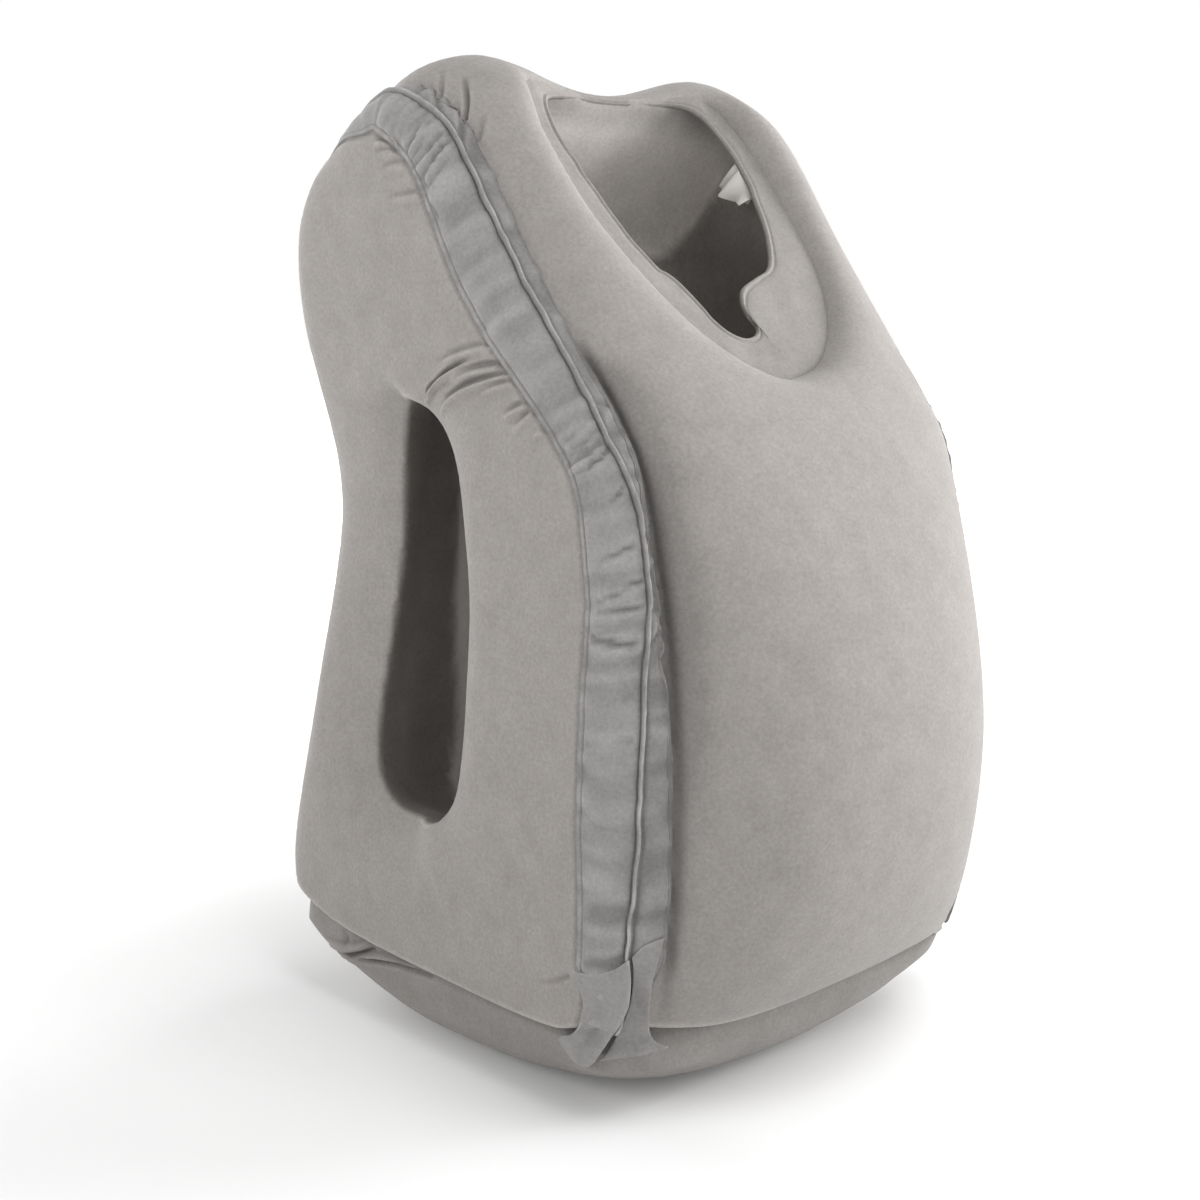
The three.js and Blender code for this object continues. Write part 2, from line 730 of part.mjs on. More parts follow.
// Flat band welded inside the face opening, with an uneven free edge
function bandSolid() {
  const outer = smoothLoop(FACE_OPENING, BAND_STEPS);
  const inner = smoothLoop(BAND_EDGE, BAND_STEPS);
  const shape = new THREE.Shape(outer.map(spread));
  shape.holes.push(new THREE.Path(inner.map((p) => new THREE.Vector2(p.x, p.v))));
  const sheet = new THREE.ExtrudeGeometry(shape, { depth: BAND_THICKNESS, bevelEnabled: false });
  sheet.translate(0, 0, -BAND_THICKNESS / 2);
  const places = sheet.attributes.position;
  for (let i = 0; i < places.count; i++) {
    places.setZ(i, places.getZ(i) - bandSag(places.getX(i), places.getY(i)));
  }
  const place = new THREE.Matrix4().makeBasis(
    new THREE.Vector3(1, 0, 0),
    new THREE.Vector3(0, slopeAlong.y, slopeAlong.z),
    new THREE.Vector3(0, slopeOut.y, slopeOut.z),
  );
  place.setPosition(0, SLOPE_FOOT.y, SLOPE_FOOT.z);
  return geometrySolid(sheet.applyMatrix4(place)).subtract(bodyCutter);
}

function geometrySolid(geometry) {
  geometry.deleteAttribute("normal");
  geometry.deleteAttribute("uv");
  const merged = mergeVertices(geometry, 1e-4);
  const vertProperties = new Float32Array(merged.attributes.position.array);
  const triVerts = new Uint32Array(merged.index.array);
  return new wasm.Manifold(new wasm.Mesh({ numProp: 3, vertProperties, triVerts }));
}

// Blank folded label that hangs from the band's free edge
function labelSolid() {
  const fold = new THREE.Shape(LABEL_SECTION.map((p) => new THREE.Vector2(p.across, p.down)));
  const tab = new THREE.ExtrudeGeometry(fold, { depth: LABEL_LENGTH, bevelEnabled: false });
  const place = new THREE.Matrix4().makeBasis(
    new THREE.Vector3(-1, 0, 0),
    new THREE.Vector3(0, slopeOut.y, slopeOut.z),
    new THREE.Vector3(0, slopeAlong.y, slopeAlong.z),
  );
  place.setPosition(slopePoint(LABEL_PLACE.x, LABEL_PLACE.v, -BAND_THICKNESS / 2 - GAP));
  return geometrySolid(tab.applyMatrix4(place));
}

function clothMesh(name, solid, colour, roughness) {
  const material = new THREE.MeshStandardMaterial({ color: colour, roughness, metalness: 0 });
  const mesh = new THREE.Mesh(solidGeometry(solid), material);
  mesh.name = name;
  return mesh;
}

const baseCutter = grown(wholeBase, CUTTER_GROWTH);
const pillow = new THREE.Group();
pillow.add(clothMesh("body", bodySolid, 0xa7a39f, 0.95));
pillow.add(clothMesh("base", baseSolid, 0x92908c, 0.95));
for (const [name, side] of [["strip_left", -1], ["strip_right", 1]]) {
  const strip = stripSolid(side).subtract(bodyCutter).subtract(baseCutter);
  pillow.add(clothMesh(name, strip, 0xa2a19f, 0.95));
}
pillow.add(clothMesh("face_band", bandSolid(), 0xaca7a2, 0.9));
pillow.add(clothMesh("label", labelSolid(), 0xdedad2, 0.8));

export default pillow;
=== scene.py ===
"""Inflatable travel pillow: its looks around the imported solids.

Shapes are worked out in millimetres in the frame of the solids (X across, -Y the bulging
front, +Z up) and become metres when a mesh is made.
"""

import math

import bmesh
import bpy
import numpy as np
from mathutils import Matrix, Vector
from mathutils.bvhtree import BVHTree


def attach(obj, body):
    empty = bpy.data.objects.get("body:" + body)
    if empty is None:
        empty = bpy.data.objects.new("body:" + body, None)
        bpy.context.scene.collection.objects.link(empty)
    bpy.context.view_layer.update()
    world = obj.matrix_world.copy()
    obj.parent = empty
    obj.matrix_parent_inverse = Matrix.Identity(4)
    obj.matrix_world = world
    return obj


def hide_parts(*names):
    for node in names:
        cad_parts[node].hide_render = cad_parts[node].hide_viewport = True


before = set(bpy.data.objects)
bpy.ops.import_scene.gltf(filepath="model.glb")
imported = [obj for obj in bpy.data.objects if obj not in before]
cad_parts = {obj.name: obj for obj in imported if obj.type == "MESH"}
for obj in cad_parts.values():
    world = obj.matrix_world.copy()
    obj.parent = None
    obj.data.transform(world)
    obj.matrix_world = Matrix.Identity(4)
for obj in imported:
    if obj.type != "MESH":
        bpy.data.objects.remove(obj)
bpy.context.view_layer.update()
MM = 0.001
OUTLINE_BLUR = 24

# Camera at the photograph's viewing angle
CAMERA_PLACE = (-704.46, -712.39, 415.65)
CAMERA_AZIMUTH = math.radians(-43.64)
CAMERA_TILT = math.radians(9.83)
CAMERA_LENS = 51.4
CAMERA_SENSOR = 36
PHOTO_FOCAL = 1200 * CAMERA_LENS / CAMERA_SENSOR

# Body
SIDE_HALF_WIDTH = 143
SIDE_CROWN = 6
SIDE_CROWN_REACH = 30
CORNER_BLEND = 24
FRONT_PANEL_INSET = 18
SWELL_POWER = 0.55
SWELL_SOFTNESS = 0.02
HORN_SPAN = 88
SADDLE_POWER = 1.5
WAIST_DEPTH = 13
WAIST_HEIGHT = 300
WAIST_REACH = 80
WAIST_FROM = 10
WAIST_TO = 110
SEAM_HEIGHT = 44
SEAM_CORNER_LIFT = 11
SEAM_CORNER_MOST = 1.3
SEAM_HALF_WIDTH = 134
SEAM_HALF_DEPTH = 145
SEAM_SIDE_RISE = 0.022
SEAM_RISES_FROM = -70
SEAM_FRONT_TILT = 0.045
SEAM_TILTS = (-90, -125)
SEAM_BLEND = 7
CHAMBER_HALF_WIDTH = 94
CHAMBER_CORNER_BLEND = 70
CHAMBER_FLOOR = 85
CHAMBER_FLOOR_BLEND = 60
CHAMBER_ROOF_DEPTH = 45
CHAMBER_ROOF_BLEND = 40
FUNNEL_DEPTH = 90
FUNNEL_BLEND = 14
FUNNEL_JOIN_BLEND = 24
ROLL_BLEND = 30
BACK_RIM_BLEND = 12
BACK_RIM_FROM = (150, 195)
ARM_TUNNEL_INNER = 60
ARM_LIP = 128
ARM_LIP_REACH = 26
ARM_WIDENING = 9
ARM_REAR_BLEND = 3
ARM_FRONT_BLEND = 30
ARM_FORWARD = (24, -12)
LIP_PLACE = 1.2
LIP_WIDTH = 1.1
LIP_HEIGHT = 1.3
LIP_FROM = (134, 138)
SEAM_WELT_UP = 2.4
SEAM_WELT_TALL = 1.1
SEAM_WELT_WIDTH = 1.2
BODY_CELL = 6.0
VALLEY_OUT = 124.5
VALLEY_DEPTH = 6.5
VALLEY_LEAST = 1.2
VALLEY_WIDTH = 3
VALLEY_PANEL_WIDTH = 9
VALLEY_POWER = 1.4
VALLEY_DEEPENS = (160, 270)
VALLEY_TOP = (396, 372)
VALLEY_FOOT = (95, 125)
VALLEY_MIDDLE = 4
VALLEY_BEFORE = -80
FRONT_FROM = (-70, -95)
BODY_LOW = (-166, -226, 24)
BODY_HIGH = (166, 182, 568)
SIDE_CHART = ((-320, -60), (300, 640))
SLOPE_CHART = ((-200, -200), (200, 420))


def table(names, rows):
    """Named columns from rows of numbers."""
    return dict(zip(names.split(), np.array(rows, float).T))


# Side outline of the panels at the corner welts. Crown is how far the panel swells past it
# at mid width, full how square that swell is, dip how far the crest sinks between its horns.
OUTLINE = table("y z crown full dip", [
    (-139, 38, 0, 2.3, 0),
    (-146, 60, 25, 2.3, 0),
    (-151, 95, 43, 2.3, 0),
    (-153, 150, 56, 2.3, 0),
    (-152, 200, 57, 2.3, 0),
    (-145, 262, 48, 2.3, 0),
    (-131, 330, 32, 2.6, 0),
    (-115, 360, 26, 3.2, 0),
    (-91, 390, 25, 4, 0),
    (-49, 445, 28, 4, 0),
    (-12, 498, 29, 4, 7),
    (12, 518, 29, 4, 14),
    (44, 530, 25, 4, 19),
    (75, 519, 18, 4, 20),
    (99, 502, 13, 3.5, 14),
    (120, 486, 10, 3, 7),
    (136, 455, 8, 3, 1),
    (136, 405, 9, 3, 0),
    (119, 325, 11, 3, 0),
    (121, 265, 12, 3, 0),
    (134, 185, 12, 3, 0),
    (157, 100, 9, 3, 0),
    (159, 66, 2, 3, 0),
    (153, 42, 0, 3, 0),
    (130, 10, 0, 3, 0),
    (-125, 10, 0, 3, 0),
])
ARM_HOLE = table("y z", [
    (8, 134), (31, 131), (52, 133), (66, 143), (71, 160), (68, 190), (62, 216), (55, 250),
    (48, 285), (45, 320), (41, 346), (36, 361), (25, 367), (9, 360), (-3, 338), (-9, 318),
    (-15, 265), (-12, 217), (-5, 166),
])
# Hollow that the side panel makes behind the arm hole, under a ridge from the hole's top
ARM_HOLLOW_DEPTH = 14
ARM_HOLLOW_REACH = 52
ARM_HOLLOW_FROM = (2, 34)
ARM_RIDGE = 366
ARM_RIDGE_RISE = 12
ARM_RIDGE_FROM = (12, 40)
ARM_RIDGE_ABOVE = 2
ARM_RIDGE_BELOW = 16
ARM_RIDGE_SPREAD = 0.4
# Face opening in its own sloping plane: x across, v up the slope
FACE_OPENING = table("x v", [
    (0, -1), (15, 1.5), (30, 6.5), (45, 17), (58, 31), (69, 48), (77, 68), (81.5, 90),
    (84, 118), (85, 150), (82, 180), (72, 197), (41, 203), (0, 203), (-40, 203), (-69, 198),
    (-80, 183), (-82, 157), (-79, 118), (-72, 88), (-60, 57), (-46, 32), (-30, 14), (-15, 3),
])
FACE_MIDDLE = 101.5
SLOPE_FOOT = np.array((-112.0, 378.0))
SLOPE_ANGLE = math.radians(51.6)
HOLLOW_BACK = table("z y", [
    (60, 92), (130, 92), (260, 84), (360, 76), (440, 60), (500, 35), (539, 15), (600, -14),
])
HOLLOW_FRONT = table("z y", [
    (60, -78), (120, -90), (180, -98), (250, -102), (320, -102), (420, -99),
])

# Crease in the side walls below the opening: where y + lean * z has this value
CREASE_PLACE = 558
CREASE_LEAN = 1.13
CREASE_DEPTH = 2.5
CREASE_WIDTH = 4
CREASE_SOFTNESS = 5
CREASE_WALL = (4, 0)
CREASE_OUT = (50, 70)
CREASE_BELOW = (520, 480)
# Share of the painted recess shade that the chamber's walls get below the crease
CHAMBER_PAINTED_SHADE = 0.3

# Free inner edge of the flat band in the face opening, cut unevenly
BAND_EDGE = table("x v", [
    (-2, 26), (4, 30), (5.5, 35), (3, 41), (4, 49), (11, 58.5), (27, 66), (41, 72), (50, 82),
    (60, 102), (66, 124), (69.5, 138), (70.3, 156), (68, 172), (62, 189), (52, 197.5),
    (33, 200), (0, 200.5), (-31, 199.5), (-51, 194), (-61, 184), (-65, 168), (-65, 153),
    (-63, 143), (-62.8, 135), (-60.4, 122), (-59, 112), (-56.2, 99), (-54.5, 91),
    (-50.5, 81), (-46, 71), (-42, 68.5), (-37, 63), (-32.5, 54), (-28.5, 44), (-26.5, 38),
    (-20, 29.5), (-11, 25),
])
BAND_THICKNESS = 2.0
BAND_OVERLAP = 5.0
BAND_SAG = 10.7
BAND_SAG_SPAN = 66
BAND_SAG_FROM = 170
BAND_SAG_TO = 198
BAND_DROP = 1.2
BAND_AROUND = 520
BAND_ACROSS = 12
BAND_EVENED = 51
BAND_BACK = (185, 200)
BAND_BACK_MIDDLE = (75, 60)
BAND_BACK_LESS = 0.6
BAND_WELD_WIDE = 12
BAND_BILLOW = 0.7
BAND_BILLOW_SPAN = 15
BAND_BILLOW_SEED = 31
# Section of the band from its free edge: how far in, and the height of its weld there
BAND_WELD = table("place height", [
    (0, -0.5), (0.5, 0.1), (1.1, 0.45), (1.8, 0.4), (2.5, 0), (3.1, -0.5), (3.7, -0.55),
    (4.4, -0.1), (5.2, 0.1),
])

# Blank label of two layers below the band's free edge on the right. Each layer hangs into
# the opening from a place up the slope: its far corner and how far it reaches at each place.
LABEL_THICKNESS = 0.5
LABEL_ROWS = 7
LABEL_BOW = 0.8
LABEL_BELOW = 0.4
LABEL_FRONT = table("v x down back_x back_v", [
    (148, 70, 17.0, 66.5, 145.5), (143.5, 70.4, 16.6, 63.5, 142.5), (139, 70.6, 14.5, 66, 138.5),
    (135, 70.8, 11.8, 69, 134.5), (131.5, 70.8, 9.5, 66, 131.5), (128, 70.6, 7.5, 63.5, 128),
])
LABEL_REAR = table("v x down back_x back_v", [
    (153.5, 71, 16.4, 69.5, 150.8), (149, 71.6, 16.2, 71, 146.5), (144, 72, 14.5, 72, 141.5),
    (138, 72.2, 11.5, 73, 136.5), (129, 72.2, 7.5, 72, 129),
])

# Base cushion: plan outline at each height. Power is the exponent of its rounded rectangle.
BASE_SECTIONS = table("z half front back power", [
    (0, 108, -104, 114, 2.4),
    (5, 127, -124, 133, 2.5),
    (10, 134, -132, 139, 2.9),
    (15, 137, -136, 142, 3.6),
    (22, 138, -139, 145, 5),
    (30, 138, -140, 151, 10),
    (40, 140, -140, 156, 14),
    (58, 138, -138, 156, 14),
    (72, 135, -136, 152, 13),
])

BASE_AROUND = 420
BASE_HEIGHTS = np.r_[0, np.linspace(0.6, 54, 54), np.linspace(56, 68, 5)]
BASE_HIDDEN = 6
BASE_FREE = (2, 9)
BASE_BILLOW = 0.5
BASE_BILLOW_SPAN = 26
BASE_BILLOW_SEED = 21

# Corner strip by the way walked along the side outline: how far in from the outline its
# edge on the side panel and its welt lie, and how far out from the middle the welt
# and its edges are. On the back it lies round the corner, on the back panel.
STRIP_PLACE = table("walked edge edge_out welt welt_out far_out", [
    (0, 30, 149, 11, 142, 130),
    (16, 31, 149, 10, 141.5, 136),
    (32, 31, 149, 9, 141, 136),
    (46, 38.5, 149, 9, 141, 131),
    (64, 39.5, 149, 8.8, 141, 124.5),
    (80, 39.5, 149, 8.5, 140.6, 124.5),
    (120, 42, 149, 7.1, 139, 124.5),
    (160, 39.6, 149, 5.9, 138, 124.5),
    (200, 34.4, 149, 3.6, 134.6, 124.5),
    (240, 25, 149, 1.2, 129, 124.5),
    (280, 21.7, 149, 1.2, 128.3, 124.5),
    (320, 21.8, 149, 3.2, 133.8, 124.5),
    (360, 25, 149, 2.8, 133, 124.5),
    (400, 31.3, 149, 3.2, 134, 124.5),
    (440, 33.2, 149, 3.3, 134.3, 124.5),
    (520, 27.7, 149, 3.7, 134.8, 124.5),
    (560, 25.8, 149, 4.7, 136, 124.5),
    (590, 22, 147, 4.5, 135, 123),
    (615, 12, 141, 2.5, 128, 116),
    (650, 5, 129, 0, 112, 98),
    (1118, 5, 129, 0, 112, 98),
])
STRIP_FAR_IN = -0.8
STRIP_STEP = 2.4
STRIP_SUNK = -5.0

# Waviness along a strip: how high and how long each wave is
WELT_WAVES = ((0.8, 16), (0.5, 6))
RIM_WAVES = ((1.3, 14), (0.5, 6))
RIM_WAVES_TO = (345, 325)
WELT_TALL_WAVES = ((0.16, 8),)
WAVE_SEED = {-1: 3, 1: 8}
# Widths of a strip's two bands, as measured over the body
LEFT_FALL = 0.8
LEFT_MORE = 3
RIGHT_STRETCH = 1.1
RIGHT_MORE = 3.5
WELT_SPREAD = 0.35
# Columns across a strip, and those that its hidden underside follows
FLANGE_COLUMNS = (-1.6, -0.9, -0.3, 0.2, 0.7, 1.3, 2.1, 2.9, 3.5, 3.9, 4.3, 4.8, 5.5, 6.4)
RIM_COLUMNS = (-2.4, -2.0, -1.6, -1.1, -0.6, -0.1, 0.4, 1.0)
BAND_COLUMNS = 18
BAND_FROM = 7.6
BAND_TO = -4.4
SIDE_COLUMNS = 9
SIDE_FROM = 4.8
SIDE_TO = -3
STRIP_UNDER = (0, 20, 37)
# Section of a strip: heights in mm, and bumps with their middle, width and size
FLANGE_HEIGHT = 0.8
FLANGE_RISES = (-1.0, 0.4)
FLANGE_STITCH = ((4.0, 0.5, -1.0),)
PUFF_HEIGHT = 1.5
PUFF_POWER = 2.6
PUFF_FROM = 4.4
PUFF_MARGIN = 6.6
WELT_FOOT = 0.8
WELT_FOOT_RISES = (-9, 0)
RIM_STITCH = ((-2.6, 0.5, -0.6),)
FLANGE_TURN = 2.4
FLANGE_TURNS = (0, -1.4)
RIM_TURN = 7
RIM_TURNS = (-0.3, 1.0)
CALM_FLANGE = (3, 7)
CALM_WELT = 2.6
CALM_RIM = (1.3, 0.3)
CALM_SHARE = 0.8
STRIP_INSIDE = 0.2
CLEAR_BLEND = 0.5
PLEAT_BLEND = 1.2
# Painted shade and highlights across a strip, as bumps from its welt, its edge and its rim
WELT_PAINTED_SHADING = ((0.2, 0.7, 0.32), (-1.8, 0.7, -0.3))
EDGE_PAINTED_SHADING = ((0, 0.6, -0.28), (4.0, 0.6, -0.22), (2, 1, 0.06))
RIM_PAINTED_SHADOW = ((0, 1.2, -0.2),)
SIDE_SHADE = 0.07
SIDE_SHADE_FROM = (1.0, 2.0)
PLEAT_SHADED = (-1.2, 1.5)
# Groove in the body along a strip's edge
EDGE_DEPTH = 1.3
EDGE_WIDTH = 1.1
# On the right the strip lies further round on the side panel
RIGHT_ROUND = {"edge": 10, "welt": 12, "far_in": 5.8}
RIGHT_WELT_OUT = 146
RIGHT_FAR_OUT = 138
RIGHT_FROM = (30, 110)
RIGHT_TO = (640, 560)
FLUSH_FROM = (530, 590)
FLUSH_SHARE = 0.7
RIGHT_PROUD = 0.35
STRIP_CLEAR = 0.35
PLEAT_MOST = 1.9
RIB_LIFT = 1.3
RIB_SPAN = 6
SHOULDER_RIB_LIFT = 1.1
SHOULDER_RIB_SPAN = 3.6
RIB_SLANT = 0.3
RIB_SEED = 41
SHOULDER_RIB_SEED = 43
GATHER_FROM = (470, 540)
GATHER_TO = (700, 640)
BILLOW = 0.3
BILLOW_SPAN = 9
BILLOW_SEED = 11

# Standing welt across its width: place from its middle and height, leaning to the front
WELT_SECTION = table("place height", [
    (-2.7, 0), (-2.2, -0.5), (-1.8, -1.0), (-1.45, -0.6), (-1.15, 0.5), (-0.85, 1.7),
    (-0.5, 2.7), (-0.15, 3.3), (0.25, 3.5), (0.6, 3.3), (0.85, 2.7), (0.9, 1.6), (0.85, 0.4),
    (0.95, -0.8), (1.3, -1.3), (1.8, -1.2), (2.4, -0.7), (3.0, -0.3), (3.8, 0),
])
WELT_TALL = {-1: 1.0, 1: 0.55}

# Puckers across the strip's front band. Across is 1 at the welt and 2 at its far edge.
PUCKERS = table("walked1 across1 walked2 across2 depth width", [
    (341, 1.15, 338, 1.85, 1.6, 2.0),
    (330, 1.15, 332, 1.6, -1.3, 1.8),
    (322, 1.15, 322, 1.9, 1.0, 2.0),
    (300, 1.15, 299, 1.9, 1.0, 2.0),
    (270, 1.15, 269, 2.0, 1.6, 1.8),
    (252, 1.15, 250, 2.0, 0.9, 1.8),
    (234, 1.15, 235, 2.0, 1.8, 1.8),
    (218, 1.15, 224, 2.0, 2.4, 1.8),
    (182, 1.15, 181, 1.9, 1.1, 2.0),
    (160, 1.15, 159, 1.9, 0.6, 2.2),
    (82, 1.15, 84, 1.9, 1.2, 3.5),
    (547, 1.15, 552, 1.9, 1.6, 1.8),
    (527, 1.15, 541, 1.95, 2.4, 1.9),
    (541, 1.95, 548, 2.3, 2.0, 1.9),
    (503, 1.15, 518, 1.95, 2.6, 1.9),
    (533, 1.7, 519, 1.95, 1.2, 1.5),
    (565, 1.15, 572, 1.9, 1.5, 2.0),
    (580, 1.15, 588, 1.9, 1.3, 2.0),
])

